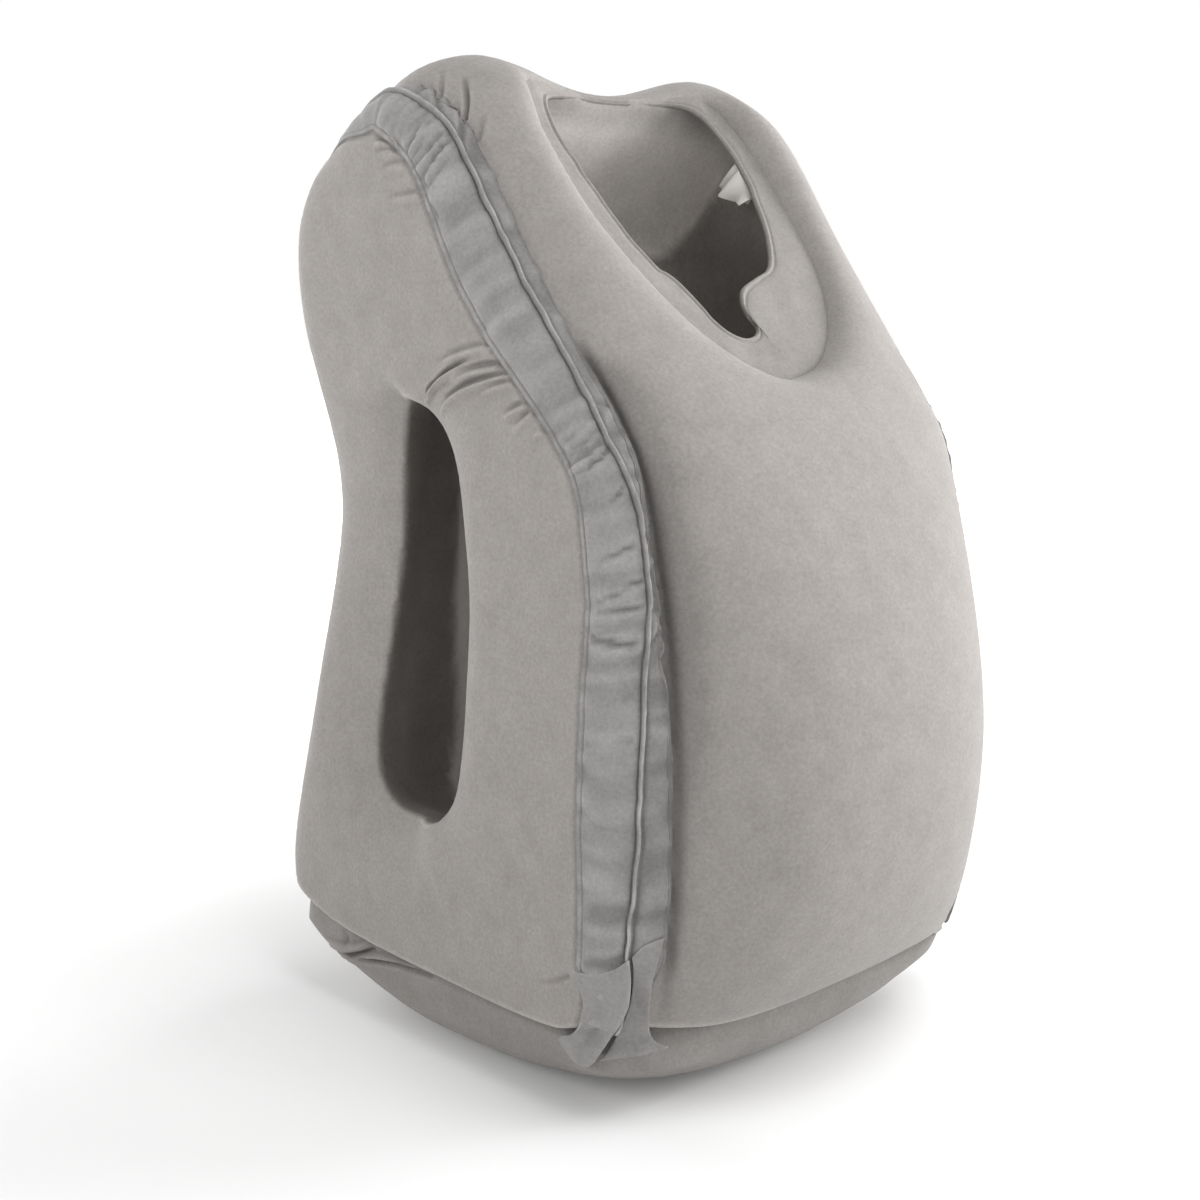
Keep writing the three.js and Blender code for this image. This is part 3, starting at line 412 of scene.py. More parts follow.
# Folds and creases as lines through places in a 1200 x 1200 picture from the camera, with
# how deep and how wide they are in mm. A depth below zero is a raised fold. The letter says
# what they lie on: 0 the body, 1 the corner strip, 2 the base.
FOLDS = table("on line px py depth width", [
    (0, 1, 427, 397, 1.0, 1.1), (0, 1, 429, 389, 2.6, 1.1), (0, 1, 437, 380, 3.0, 1.1),
    (0, 1, 445, 372, 2.8, 1.1), (0, 1, 455, 365.5, 2.2, 1.1), (0, 1, 465, 360.5, 0.8, 1.2),
    (0, 1, 472, 357, 0, 1.4),
    (0, 2, 427, 402, -1.0, 1.6), (0, 2, 430, 392.5, -2.0, 1.5), (0, 2, 438, 383.5, -2.4, 1.6),
    (0, 2, 447.5, 376, -2.2, 1.8), (0, 2, 457, 370, -1.6, 2), (0, 2, 468, 364.5, -0.8, 2.2),
    (0, 2, 480, 360, 0, 2.4),
    (0, 3, 438, 366, 0, 2), (0, 3, 450, 358.5, -1.0, 2), (0, 3, 466, 352.5, -1.5, 2),
    (0, 3, 480, 349, -1.5, 2), (0, 3, 490, 347.5, -1.2, 2),
    (0, 4, 436, 362, 0, 1.5), (0, 4, 441, 359, 0.5, 1.5), (0, 4, 450.7, 353.5, 0.9, 1.5),
    (0, 4, 466, 348, 1.0, 1.5), (0, 4, 480, 344.5, 1.0, 1.5), (0, 4, 490, 343.5, 0.6, 1.5),
    (0, 5, 446, 382, 0, 1.8), (0, 5, 457, 378.5, -1.2, 1.8), (0, 5, 470, 374, -1.8, 1.8),
    (0, 5, 483, 371, -1.8, 1.8), (0, 5, 498, 369, -1.4, 1.8),
    (0, 6, 455, 372, 0, 1.6), (0, 6, 468, 367.5, 1.0, 1.6), (0, 6, 482, 364.5, 1.6, 1.7),
    (0, 6, 496, 362.5, 1.6, 1.7), (0, 6, 500, 362, 1.2, 1.6),
    (0, 7, 446, 398, 0.6, 1.4), (0, 7, 451, 393.5, 1.4, 1.4), (0, 7, 460, 387.5, 1.7, 1.4),
    (0, 7, 470, 382.5, 1.7, 1.4), (0, 7, 482, 378, 1.5, 1.4), (0, 7, 494, 374.5, 1.3, 1.4),
    (0, 7, 506, 372.5, 0.8, 1.4),
    (0, 8, 441, 414, -0.6, 1.5), (0, 8, 444, 407, -1.4, 1.5), (0, 8, 451, 399.5, -2.0, 1.6),
    (0, 8, 460, 393, -2.2, 1.7), (0, 8, 470, 388, -2.0, 1.7), (0, 8, 482, 383, -1.6, 1.6),
    (0, 8, 494, 379, -1.3, 1.5), (0, 8, 508, 376.5, -1.0, 1.5),
    (0, 9, 480, 393, 0, 1.6), (0, 9, 486, 391, -0.8, 1.6), (0, 9, 496, 387.5, -1.3, 1.6),
    (0, 9, 505, 385, -1.3, 1.6), (0, 9, 512, 383.5, -1.0, 1.6),
    (0, 10, 485, 387, 0, 1.4), (0, 10, 495, 383, 0.8, 1.4), (0, 10, 508, 380, 1.0, 1.4),
    (0, 11, 503, 419, 0, 1.6), (0, 11, 507, 416, -1.0, 1.6), (0, 11, 516, 411, -1.4, 1.6),
    (0, 11, 525, 406.5, -1.1, 1.6),
    (0, 12, 504, 412, 0, 1.5), (0, 12, 510, 408.5, 0.9, 1.5), (0, 12, 518, 404, 1.2, 1.5),
    (0, 12, 523, 401.5, 0.8, 1.5),
    (0, 13, 512, 431, 0, 1.5), (0, 13, 517, 427.5, -0.9, 1.5), (0, 13, 523, 422, -1.3, 1.5),
    (0, 13, 531, 415.5, -1.0, 1.5),
    (0, 14, 514, 424, 0, 1.4), (0, 14, 521, 417.5, 0.8, 1.4), (0, 14, 528, 412, 0.9, 1.4),
    (0, 15, 532, 438, 0, 1.4), (0, 15, 537, 435, -0.8, 1.4), (0, 15, 541, 432.5, -0.8, 1.4),
    (0, 16, 372, 141, 0, 1.3), (0, 16, 378, 138.5, 0.8, 1.3), (0, 16, 384, 138.5, 1.1, 1.3),
    (0, 16, 390, 142, 1.2, 1.3), (0, 16, 394, 146, 0.8, 1.3),
    (0, 17, 372, 145.5, 0, 1.3), (0, 17, 379, 143, -0.6, 1.3), (0, 17, 386, 144, -0.8, 1.3),
    (0, 18, 376, 150, 0, 1.3), (0, 18, 383, 147.5, 0.8, 1.3), (0, 18, 390, 147.5, 1.0, 1.3),
    (0, 18, 395, 150, 0.8, 1.3),
    (0, 19, 382, 166, 0, 1.5), (0, 19, 388, 162.5, 0.6, 1.5), (0, 19, 396, 160, 0.9, 1.5),
    (0, 19, 403, 160, 0.6, 1.5),
    (0, 20, 384, 171, 0, 1.6), (0, 20, 392, 168, -0.6, 1.6), (0, 20, 402, 167, -0.6, 1.6),
    (0, 21, 386, 197, 0, 2), (0, 21, 394, 194.5, 0.5, 2), (0, 21, 403, 192.5, 0.8, 1.8),
    (0, 21, 416, 190, 0.9, 1.6),
    (0, 22, 388, 202, 0, 2), (0, 22, 400, 198.5, -0.5, 2), (0, 22, 417, 196, -0.6, 1.8),
    (0, 23, 531, 979, 0, 1.6), (0, 23, 549, 982, 0.6, 1.6), (0, 23, 568, 976.5, 1.0, 1.6),
    (0, 24, 443, 72, 0.6, 1.5), (0, 24, 441.5, 89, 1.6, 1.4), (0, 24, 438.5, 99.6, 1.8, 1.3),
    (0, 25, 465, 78, 0.8, 1.5), (0, 25, 466.5, 89, 2.0, 1.4), (0, 25, 467.2, 104, 2.4, 1.4),
    (0, 25, 465, 118.7, 2.2, 1.4),
    (0, 26, 484, 117, 0.6, 1.4), (0, 26, 481, 130, 1.2, 1.4), (0, 26, 478, 139, 1.2, 1.4),
    (1, 31, 441, 133, 0.8, 1.2), (1, 31, 430, 146.5, 1.8, 1.3), (1, 31, 420, 159, 1.6, 1.3),
    (1, 31, 412, 167, 0.8, 1.3),
    (1, 32, 445, 138, -0.8, 1.5), (1, 32, 434, 150, -1.4, 1.5), (1, 32, 424, 163, -1.4, 1.5),
    (1, 32, 414, 173, -0.8, 1.5),
    (1, 33, 419, 124, 0.6, 1.3), (1, 33, 414, 138, 1.2, 1.3), (1, 33, 408, 152, 1.4, 1.3),
    (1, 34, 423, 125, -0.6, 1.6), (1, 34, 418, 138, -1.2, 1.6), (1, 34, 412, 151, -1.2, 1.5),
    (1, 34, 408, 160, -0.8, 1.4),
    (1, 35, 444, 144, 0.8, 1.2), (1, 35, 432, 160.5, 1.6, 1.3), (1, 35, 421, 178, 1.6, 1.3),
    (1, 36, 449, 147, -0.8, 1.5), (1, 36, 437.5, 163, -1.6, 1.6), (1, 36, 427, 180, -1.5, 1.5),
    (1, 37, 431, 204, 0.9, 1.3), (1, 37, 437, 215, 0.5, 1.3),
    (1, 38, 567, 449, -1.2, 1.6), (1, 38, 580, 437, -1.6, 1.6), (1, 38, 594, 424, -1.0, 1.6),
    (1, 39, 570, 465, 1.2, 1.3), (1, 39, 587, 453, 1.4, 1.3), (1, 39, 600, 441, 0.9, 1.3),
    (1, 40, 571, 472, -1.2, 1.5), (1, 40, 588, 460, -1.8, 1.6), (1, 40, 604, 449, -1.2, 1.5),
    (1, 49, 589, 466, 0.6, 1.2), (1, 49, 599, 458, 1.0, 1.2), (1, 49, 607, 449.5, 1.0, 1.2),
    (1, 50, 611, 501, 0.3, 1.2), (1, 50, 618, 495, 1.1, 1.2), (1, 50, 624, 489, 1.3, 1.2),
    (1, 51, 602, 584, 0.4, 1.2), (1, 51, 618, 584, 0.9, 1.2), (1, 51, 636, 582, 0.9, 1.2),
    (1, 52, 608, 589, -0.4, 1.3), (1, 52, 622, 587, -0.9, 1.3), (1, 52, 638, 585, -0.8, 1.3),
    (1, 41, 599, 561, 0.4, 1.4), (1, 41, 618, 553, 1.0, 1.4), (1, 41, 634, 545, 1.0, 1.4),
    (1, 42, 599, 602, 0.4, 1.4), (1, 42, 620, 592, 1.1, 1.4), (1, 42, 640, 582, 1.2, 1.4),
    (1, 43, 600, 613, 0.6, 1.4), (1, 43, 620, 610, 1.0, 1.4), (1, 43, 640, 608, 1.0, 1.4),
    (1, 44, 593, 639, 1.2, 1.8), (1, 44, 612, 643, 2.4, 1.8), (1, 44, 633, 645, 2.2, 1.8),
    (1, 45, 590, 701, 0.2, 2.2), (1, 45, 630, 698, 0.6, 2.2),
    (1, 46, 588, 744, 0.2, 2.4), (1, 46, 630, 741, 0.6, 2.2),
    (1, 47, 586, 916, 0.5, 4.5), (1, 47, 626, 914, 1.0, 4.5),
    (1, 48, 586, 966, 0.8, 3.0), (1, 48, 622, 962, 1.2, 3.0),
    (2, 61, 336, 949, 1.0, 1.3), (2, 61, 347, 954, 1.8, 1.3), (2, 61, 359, 954, 2.0, 1.3),
    (2, 61, 373, 949, 1.4, 1.3),
    (2, 62, 331, 943, -0.8, 1.8), (2, 62, 345, 948.5, -1.6, 1.8), (2, 62, 361, 948, -1.6, 1.8),
    (2, 62, 370, 944, -1.0, 1.8),
    (2, 63, 345, 956.5, 0.8, 1.2), (2, 63, 367, 960, 1.4, 1.2), (2, 63, 393, 963.5, 1.6, 1.3),
    (2, 63, 414, 970, 1.4, 1.3), (2, 63, 432, 976, 0.8, 1.3),
    (2, 64, 352, 957, -0.5, 1.4), (2, 64, 372, 956, -1.1, 1.5), (2, 64, 395, 959.5, -1.2, 1.5),
    (2, 64, 415, 966, -0.9, 1.5),
    (2, 65, 344, 931, 0.5, 1.6), (2, 65, 347, 938, 1.0, 1.6), (2, 65, 345, 944, 0.6, 1.6),
])
FOLD_SHOULDER = 0.3
FOLD_SHOULDER_OUT = 2.2
FOLD_REACH = 10
FOLD_STRENGTH = (1.15, 2.3, 1.8)
FOLD_NARROWED = (0.85, 0.85, 1.0)
MIRROR_SHARE = 0.8
FOLD_STEPS = 4

# Rounds of refining the body's mesh: how near the folds, arm rims, valley, strip edges and
# seam are refined, how far out the rims, and up to what x the folds
REFINED = table("folds folds_to rims rims_from valley borders seam", [
    (10, 166, 7, 128, 8, 6, 6),
    (4.5, 166, 3, 135, 4, 2.4, 2.4),
    (2.2, 0, 0, 135, 0, 0, 0),
])

# Folded flaps of cloth at the foot of a strip, as rows of places in the picture and how far
# they stand off what is behind them
FLAP_THICKNESS = 1.4
# Painted shading of the flaps: painted shade where they lie low, painted highlights where they stand up
# and along their rims
FLAP_SHADE = 0.2
FLAP_RIM_PAINTED_HIGHLIGHT = 1.18
FLAP_SHARES = (1.2, 0.4)
FLAP_STEPS = 5
FLAP_BLUR = 6
FLAP_LAST_BLUR = 2
FLAP_SHADE_BLUR = 5
FLAP_SHADED = 1.5
FLAP_ACROSS = (5, 4)
FLAPS = table("flap px py lift", [
    (0, 574, 971, 2.6), (0, 590, 974, 2.6), (0, 604, 973, 2.8), (0, 618, 968, 3),
    (0, 629.5, 960, 4.6),
    (0, 579, 985, 3.2), (0, 590, 986, 2.6), (0, 604, 986, 2.6), (0, 618, 984, 3.6),
    (0, 631, 980, 5.6),
    (0, 583, 1000, 4), (0, 591, 1001, 2.6), (0, 602, 1001, 2), (0, 616, 1000, 4.4),
    (0, 630, 998, 7),
    (0, 583, 1012, 4.6), (0, 590, 1014, 3), (0, 600, 1015, 1.6), (0, 612, 1014, 4.6),
    (0, 627, 1012, 8.2),
    (0, 579, 1025, 4.6), (0, 587, 1027, 3.6), (0, 596, 1029, 1.4), (0, 606, 1029, 4.6),
    (0, 618, 1027, 8.6),
    (0, 571, 1034, 4.2), (0, 580, 1037, 4.4), (0, 591, 1040, 1.8), (0, 599, 1041, 4.8),
    (0, 609, 1041, 8.4),
    (0, 560, 1037, 3.4), (0, 570, 1044, 4.6), (0, 582, 1050, 3.2), (0, 592, 1052, 5),
    (0, 601, 1053, 8),
    (0, 572, 1056, 3.4), (0, 577, 1061, 4.6), (0, 583, 1066, 5.2), (0, 590, 1066, 6.4),
    (0, 595, 1062, 7.6),
    (1, 632, 957, 2.6), (1, 641, 947.5, 2.6), (1, 651, 942, 2.8), (1, 664, 937.5, 3),
    (1, 633, 972, 2.6), (1, 641, 966, 2.8), (1, 650, 961, 3.2), (1, 659, 957, 4.4),
    (1, 632, 990, 2.2), (1, 640, 986, 2.6), (1, 646, 983, 3.4), (1, 653, 980, 5.2),
    (1, 628, 1010, 1.8), (1, 637, 1008, 2.4), (1, 644, 1006, 3.4), (1, 650, 1002, 5.4),
    (1, 619, 1030, 1.6), (1, 630, 1030, 2), (1, 641, 1029, 3), (1, 649, 1026, 4.6),
    (1, 610, 1048, 1.8), (1, 626, 1047, 2), (1, 641, 1044, 2.8), (1, 654, 1040, 3.8),
    (1, 600, 1061, 2.2), (1, 622, 1058, 2.6), (1, 643, 1055, 3.2), (1, 668, 1047, 3.6),
])

# Studio: softboxes with place, size and power, the sky's brightness from the camera's side to
# the far side, and the floor's own glow by distance
SOFTBOXES = (
    ("right_box", (2.56, -1.48, 0.85), 1.6, 100),
    ("high_box", (2.46, 0.0, 2.0), 1.6, 34),
    ("front_box", (0.0, -1.41, 2.93), 1.6, 46),
    ("back_box", (0.0, 2.95, 0.85), 1.6, 70),
    ("left_box", (-2.69, 0.72, 1.4), 1.6, 38),
    ("low_box", (-0.9, -2.45, 1.5), 1.6, 9),
)
SKY_BRIGHT = (0.72, 0.88, 0.2, 1.0)
FLOOR_GLOW = (0.3, 3.0, 0.06, 1.1)
FLOOR_RADIUS = 14
FLOOR_BELOW = 0.0005
FLOOR_FINISH = {
    "Base Color": (0.8, 0.8, 0.8, 1), "Roughness": 0.9, "Specular IOR Level": 0.1,
    "Emission Color": (1, 1, 1, 1),
}
LIGHTS_AIM = 0.28

# Cloth: colours as linear values, the share of them that each piece has, and their detail
FLOCK = (0.288, 0.271, 0.257)
# The base cushion's flock is the body's cloth painted darker, as painted shade
BASE_PAINTED_SHADE = 0.84
BAND_TINT = 0.88
FLOCK_FINISH = {
    "Roughness": 0.92, "Specular IOR Level": 0.15, "Sheen Weight": 0.12, "Sheen Roughness": 0.5,
}
PATCHES = {"Scale": 55, "Detail": 6, "Roughness": 0.62}
PATCH_TONES = (0.93, 1.07)
GRAIN = {"Scale": 480, "Detail": 4, "Roughness": 0.75}
GRAIN_TONES = (0.86, 1.14)
TONE_SPREAD = (0.3, 0.7)
FIBRES = {"Scale": 1600, "Detail": 3}
PILE = (0.2, 0.0006)
TAPE_ROUGHNESS = 0.7
TAPE_RIB = {"Scale": 900, "Distortion": 0.6}
TAPE_DARK = (0.60, 0.58, 0.54)
TAPE_LIGHT = (0.80, 0.78, 0.74)
TAPE_BUMP = (0.3, 0.0002)
# Painted shading: painted shade in the arm tunnels and the chamber, painted light on the chamber's walls
# above the crease
RECESS_PAINTED_SHADE = (0.13, 0.105, 0.09)
CHAMBER_PAINTED_LIGHT = 1.1
TUNNEL_EDGE = (1.5, -1)
TUNNEL_FROM = (142.5, 139.5)
CHAMBER_EDGE = (4, -2)
CHAMBER_FROM = (-8, -30)
STRIP_TINT = (0.90, 0.93, 0.96)
# Painted shade in folds and creases, painted highlights on the seam welt and the arm lips, and a painted
# shadow on the front panel beside the strip's far edge
CREASE_SHADE = 0.15
SHADED_DEPTH = (-1, 1.5)
SEAM_WELT_PAINTED_HIGHLIGHT = 0.14
LIP_PAINTED_HIGHLIGHT = 0.12
FAR_EDGE = 123.2
FAR_SHADE = 0.4
FAR_SHADE_WIDTH = 1.8
FAR_SHADE_TOP = (410, 385)
FAR_SHADE_FOOT = (80, 100)
# Painted shade on the base's top, under the body's seam
BASE_TOP_SHADE = 0.3
BASE_TOP_SHADED = (9, 0)


def smooth_loop(columns, steps):
    """Closed smooth curve through a table's rows, carrying every column along."""
    t = np.arange(steps) / steps
    made = {}
    for name, b in columns.items():
        a, c, d = np.roll(b, 1), np.roll(b, -1), np.roll(b, -2)
        a, b, c, d = (values[:, None] for values in (a, b, c, d))
        cubic = (3 * b - a - 3 * c + d) * t ** 3
        square = (2 * a - 5 * b + 4 * c - d) * t ** 2
        made[name] = (0.5 * (2 * b + (c - a) * t + square + cubic)).ravel()
    return made


def loop_distance(u, v, pu, pv, carried=()):
    """Signed distance of points to a closed loop, negative inside, with columns carried."""
    best = np.full(pu.shape, np.inf)
    found = [np.zeros(pu.shape) for _ in carried]
    inside = np.zeros(pu.shape, bool)
    for i in range(len(u)):
        j = (i + 1) % len(u)
        eu, ev = u[j] - u[i], v[j] - v[i]
        t = np.clip(((pu - u[i]) * eu + (pv - v[i]) * ev) / (eu * eu + ev * ev), 0, 1)
        gap = (pu - u[i] - t * eu) ** 2 + (pv - v[i] - t * ev) ** 2
        nearer = gap < best
        best = np.where(nearer, gap, best)
        for kept, column in zip(found, carried):
            kept[nearer] = (column[i] * (1 - t) + column[j] * t)[nearer]
        if ev != 0:
            crosses = (v[i] > pv) != (v[j] > pv)
            inside ^= crosses & (pu < u[i] + (pv - v[i]) * eu / ev)
    distance = np.sqrt(best)
    return [np.where(inside, -distance, distance), *found]


def blurred(grid, rounds):
    """Grid with each value averaged with its neighbours, several times over."""
    for _ in range(rounds):
        for axis in (0, 1):
            last = grid.shape[axis] - 1
            ahead = grid.take(np.r_[0, 0:last], axis)
            behind = grid.take(np.r_[1:last + 1, last], axis)
            grid = (ahead + 2 * grid + behind) / 4
    return grid


class Chart:
    """Values worked out once on a fine square grid and looked up smoothly after."""

    STEP = 2.0

    def __init__(self, low, high, make):
        self.low = low
        axes = [np.arange(a, b, self.STEP) for a, b in zip(low, high)]
        self.grids = make(*np.meshgrid(*axes, indexing="ij"))

    def __call__(self, u, v, which=0):
        grid = self.grids[which]
        u = np.clip((u - self.low[0]) / self.STEP, 0, grid.shape[0] - 1.001)
        v = np.clip((v - self.low[1]) / self.STEP, 0, grid.shape[1] - 1.001)
        i, j = u.astype(int), v.astype(int)
        u, v = u - i, v - j
        near = grid[i, j] * (1 - v) + grid[i, j + 1] * v
        return near * (1 - u) + (grid[i + 1, j] * (1 - v) + grid[i + 1, j + 1] * v) * u


def smooth_max(a, b, blend):
    """Larger of two values, rounded over where they meet."""
    h = np.maximum(blend - np.abs(a - b), 0) / blend
    return np.maximum(a, b) + h * h * blend / 4


def smooth_min(a, b, blend):
    """Smaller of two values, rounded over where they meet."""
    return -smooth_max(-a, -b, blend)


def ease(start, end, at):
    """Smooth step from 0 at the start to 1 at the end."""
    t = np.clip((at - start) / (end - start), 0, 1)
    return t * t * (3 - 2 * t)


def bump_at(place, middle, width):
    """Bell of height 1 round a middle."""
    return np.exp(-((place - middle) / width) ** 2)


def marks_at(place, marks):
    """Sum of bumps, each with a middle, a width and a size."""
    return sum(size * bump_at(place, middle, width) for middle, width, size in marks)


outline = smooth_loop(OUTLINE, 12)


def outline_grids(y, z):
    """Distance to the side outline with its carried columns smoothed."""
    distance, *columns = loop_distance(
        outline["y"], outline["z"], y, z, (outline["crown"], outline["full"], outline["dip"])
    )
    return [distance] + [blurred(column, OUTLINE_BLUR) for column in columns]


arm_loop = smooth_loop(ARM_HOLE, 4)
face_loop = smooth_loop(FACE_OPENING, 6)
side_chart = Chart(*SIDE_CHART, outline_grids)
arm_chart = Chart(*SIDE_CHART, lambda y, z: loop_distance(arm_loop["y"], arm_loop["z"], y, z))
face_chart = Chart(*SLOPE_CHART, lambda x, v: loop_distance(face_loop["x"], face_loop["v"], x, v))
SLOPE_ALONG = np.array((math.cos(SLOPE_ANGLE), math.sin(SLOPE_ANGLE)))
SLOPE_OUT = np.array((-math.sin(SLOPE_ANGLE), math.cos(SLOPE_ANGLE)))


def slope_coordinates(y, z):
    """Place up the face opening's slope and height over it."""
    dy, dz = y - SLOPE_FOOT[0], z - SLOPE_FOOT[1]
    return dy * SLOPE_ALONG[0] + dz * SLOPE_ALONG[1], dy * SLOPE_OUT[0] + dz * SLOPE_OUT[1]


def seam_height(x, y):
    """Height of the seam between the body and its base."""
    corner = (np.abs(x) / SEAM_HALF_WIDTH) ** 4 * (np.abs(y) / SEAM_HALF_DEPTH) ** 4
    side = np.minimum((np.abs(x) / SEAM_HALF_WIDTH) ** 4, 1)
    rise = SEAM_SIDE_RISE * (y - SEAM_RISES_FROM) * side
    rise = rise - SEAM_FRONT_TILT * x * ease(*SEAM_TILTS, y)
    return SEAM_HEIGHT + SEAM_CORNER_LIFT * np.minimum(corner, SEAM_CORNER_MOST) + rise


def arm_hollow(y, z):
    """How far the side panel sinks behind the arm hole."""
    gap = np.maximum(arm_chart(y, z), 0)
    near = np.maximum(1 - gap / ARM_HOLLOW_REACH, 0) ** 2
    ridge = ARM_RIDGE + ARM_RIDGE_RISE * ease(*ARM_RIDGE_FROM, y)
    under = ease(ridge + ARM_RIDGE_ABOVE, ridge - ARM_RIDGE_BELOW - ARM_RIDGE_SPREAD * gap, z)
    return ARM_HOLLOW_DEPTH * near * under * ease(*ARM_HOLLOW_FROM, y)


def outer_field(p):
    """Outside of the inflated body with its panels swollen between their seams."""
    x, y, z = p.T
    across = np.abs(x)
    distance, crown, full, dip = (side_chart(y, z, k) for k in range(4))
    reach = np.minimum(across / (SIDE_HALF_WIDTH - FRONT_PANEL_INSET), 1)
    swell = (1 - reach ** full + SWELL_SOFTNESS) ** SWELL_POWER - SWELL_SOFTNESS ** SWELL_POWER
    saddle = np.maximum(1 - (across / HORN_SPAN) ** 2, 0) ** SADDLE_POWER
    panel = distance - crown * swell + dip * saddle
    side_swell = 1 - np.exp(np.minimum(distance, 0) / SIDE_CROWN_REACH)
    waist = bump_at(z, WAIST_HEIGHT, WAIST_REACH) * ease(WAIST_FROM, WAIST_TO, y)
    sunk = WAIST_DEPTH * waist + arm_hollow(y, z)
    side = across - SIDE_HALF_WIDTH - SIDE_CROWN * side_swell + sunk
    walls = smooth_max(panel, side, CORNER_BLEND)
    return smooth_max(walls, seam_height(x, y) - z, SEAM_BLEND)


def hollow_field(p):
    """Hollow inside the body with its funnel up to the face opening."""
    x, y, z = p.T
    back = np.interp(z, HOLLOW_BACK["z"], HOLLOW_BACK["y"])
    front = np.interp(z, HOLLOW_FRONT["z"], HOLLOW_FRONT["y"])
    depth = np.abs(y - (back + front) / 2) - (back - front) / 2
    v, out = slope_coordinates(y, z)
    room = smooth_max(depth, np.abs(x) - CHAMBER_HALF_WIDTH, CHAMBER_CORNER_BLEND)
    room = smooth_max(room, CHAMBER_FLOOR - z, CHAMBER_FLOOR_BLEND)
    room = smooth_max(room, out + CHAMBER_ROOF_DEPTH, CHAMBER_ROOF_BLEND)
    funnel = smooth_max(face_chart(x, v), -out - FUNNEL_DEPTH, FUNNEL_BLEND)
    funnel = smooth_max(funnel, y - back, FUNNEL_BLEND)
    return smooth_min(room, funnel, FUNNEL_JOIN_BLEND)


def arm_field(p):
    """Arm tunnels, which widen just behind their lips."""
    x, y, z = p.T
    across = np.abs(x)
    hole = arm_chart(y, z) - ARM_WIDENING * ease(0, 1, (ARM_LIP - across) / ARM_LIP_REACH)
    return smooth_max(hole, ARM_TUNNEL_INNER - across, FUNNEL_BLEND)


def plain_body_field(p):
    """The body without folds: its outside less its hollow and arm tunnels."""
    rim = ease(*BACK_RIM_FROM, slope_coordinates(p[:, 1], p[:, 2])[0])
    roll_blend = ROLL_BLEND + (BACK_RIM_BLEND - ROLL_BLEND) * rim
    shell = smooth_max(outer_field(p), -hollow_field(p), roll_blend)
    arm_blend = ARM_REAR_BLEND + (ARM_FRONT_BLEND - ARM_REAR_BLEND) * ease(*ARM_FORWARD, p[:, 1])
    return smooth_max(shell, -arm_field(p), arm_blend)


def smooth_line(points, steps):
    """Open smooth curve through points, which may carry further columns."""
    ends = np.vstack((2 * points[0] - points[1], points, 2 * points[-1] - points[-2]))
    made = []
    for a, b, c, d in zip(ends[:-3], ends[1:-2], ends[2:-1], ends[3:]):
        for t in np.arange(steps) / steps:
            cubic = (3 * b - a - 3 * c + d) * t ** 3 + (2 * a - 5 * b + 4 * c - d) * t ** 2
            made.append(0.5 * (2 * b + (c - a) * t + cubic))
    return np.vstack((made, points[-1]))


def ways_through(px, py):
    """Directions from the camera through places in the picture."""
    right, up, back = camera_axes()
    x, y = (np.asarray(px) - 600) / PHOTO_FOCAL, (600 - np.asarray(py)) / PHOTO_FOCAL
    ways = x[:, None] * right + y[:, None] * up - back
    return ways / np.linalg.norm(ways, axis=1)[:, None]


def seen_on(tree, px, py):
    """Points of a mesh that show at the given places in the picture."""
    found = []
    for way in ways_through(px, py):
        hit = tree.ray_cast(Vector(CAMERA_PLACE), Vector(way))[0]
        found.append(hit if hit is not None else (np.nan,) * 3)
    return np.array(found)


def traced(on, tree):
    """The fold lines of one thing carried onto it, with their mirror images."""
    lines = []
    for line in np.unique(FOLDS["line"][FOLDS["on"] == on]):
        at = FOLDS["line"] == line
        points = seen_on(tree, FOLDS["px"][at], FOLDS["py"][at])
        depth = FOLDS["depth"][at] * FOLD_STRENGTH[on]
        width = FOLDS["width"][at] * FOLD_NARROWED[on]
        rows = np.column_stack((points, depth, width))
        rows = smooth_line(rows[~np.isnan(points[:, 0])], FOLD_STEPS)
        lines += [rows, rows * (-1, 1, 1, MIRROR_SHARE, 1)]
    return lines


def near_line(p, rows):
    """Distance of points to a line, with its depth and width at the nearest place."""
    best = np.full(len(p), np.inf)
    depth, width = np.zeros(len(p)), np.ones(len(p))
    for a, b in zip(rows[:-1], rows[1:]):
        span = b[:3] - a[:3]
        t = np.clip((p - a[:3]) @ span / max(span @ span, 1e-9), 0, 1)
        gap = np.linalg.norm(p - a[:3] - t[:, None] * span, axis=1)
        closer = gap < best
        best[closer] = gap[closer]
        depth[closer] = (a[3] + (b[3] - a[3]) * t)[closer]
        width[closer] = (a[4] + (b[4] - a[4]) * t)[closer]
    return best, depth, width


def boxed(p, rows):
    """Which points lie in a fold's neighbourhood."""
    low, high = rows[:, :3].min(0) - FOLD_REACH, rows[:, :3].max(0) + FOLD_REACH
    return np.flatnonzero(np.all((p > low) & (p < high), axis=1))


def fold_section(gap, width):
    """Section of a fold: a trough with a low shoulder on each side."""
    return bump_at(gap, 0, width) - FOLD_SHOULDER * bump_at(gap, FOLD_SHOULDER_OUT * width, width)


def sunk_by(p, lines):
    """How far the folds sink the surface at points, below zero where they raise it."""
    sunk = np.zeros(len(p))
    for rows in lines:
        box = boxed(p, rows)
        if len(box):
            gap, depth, width = near_line(p[box], rows)
            sunk[box] += depth * fold_section(gap, width)
    return sunk


def close_to(p, lines, reach):
    """Which points lie within reach of any of the lines."""
    near = np.zeros(len(p), bool)
    for rows in lines:
        box = boxed(p, rows)
        if len(box):
            near[box] |= near_line(p[box], rows)[0] < reach
    return near


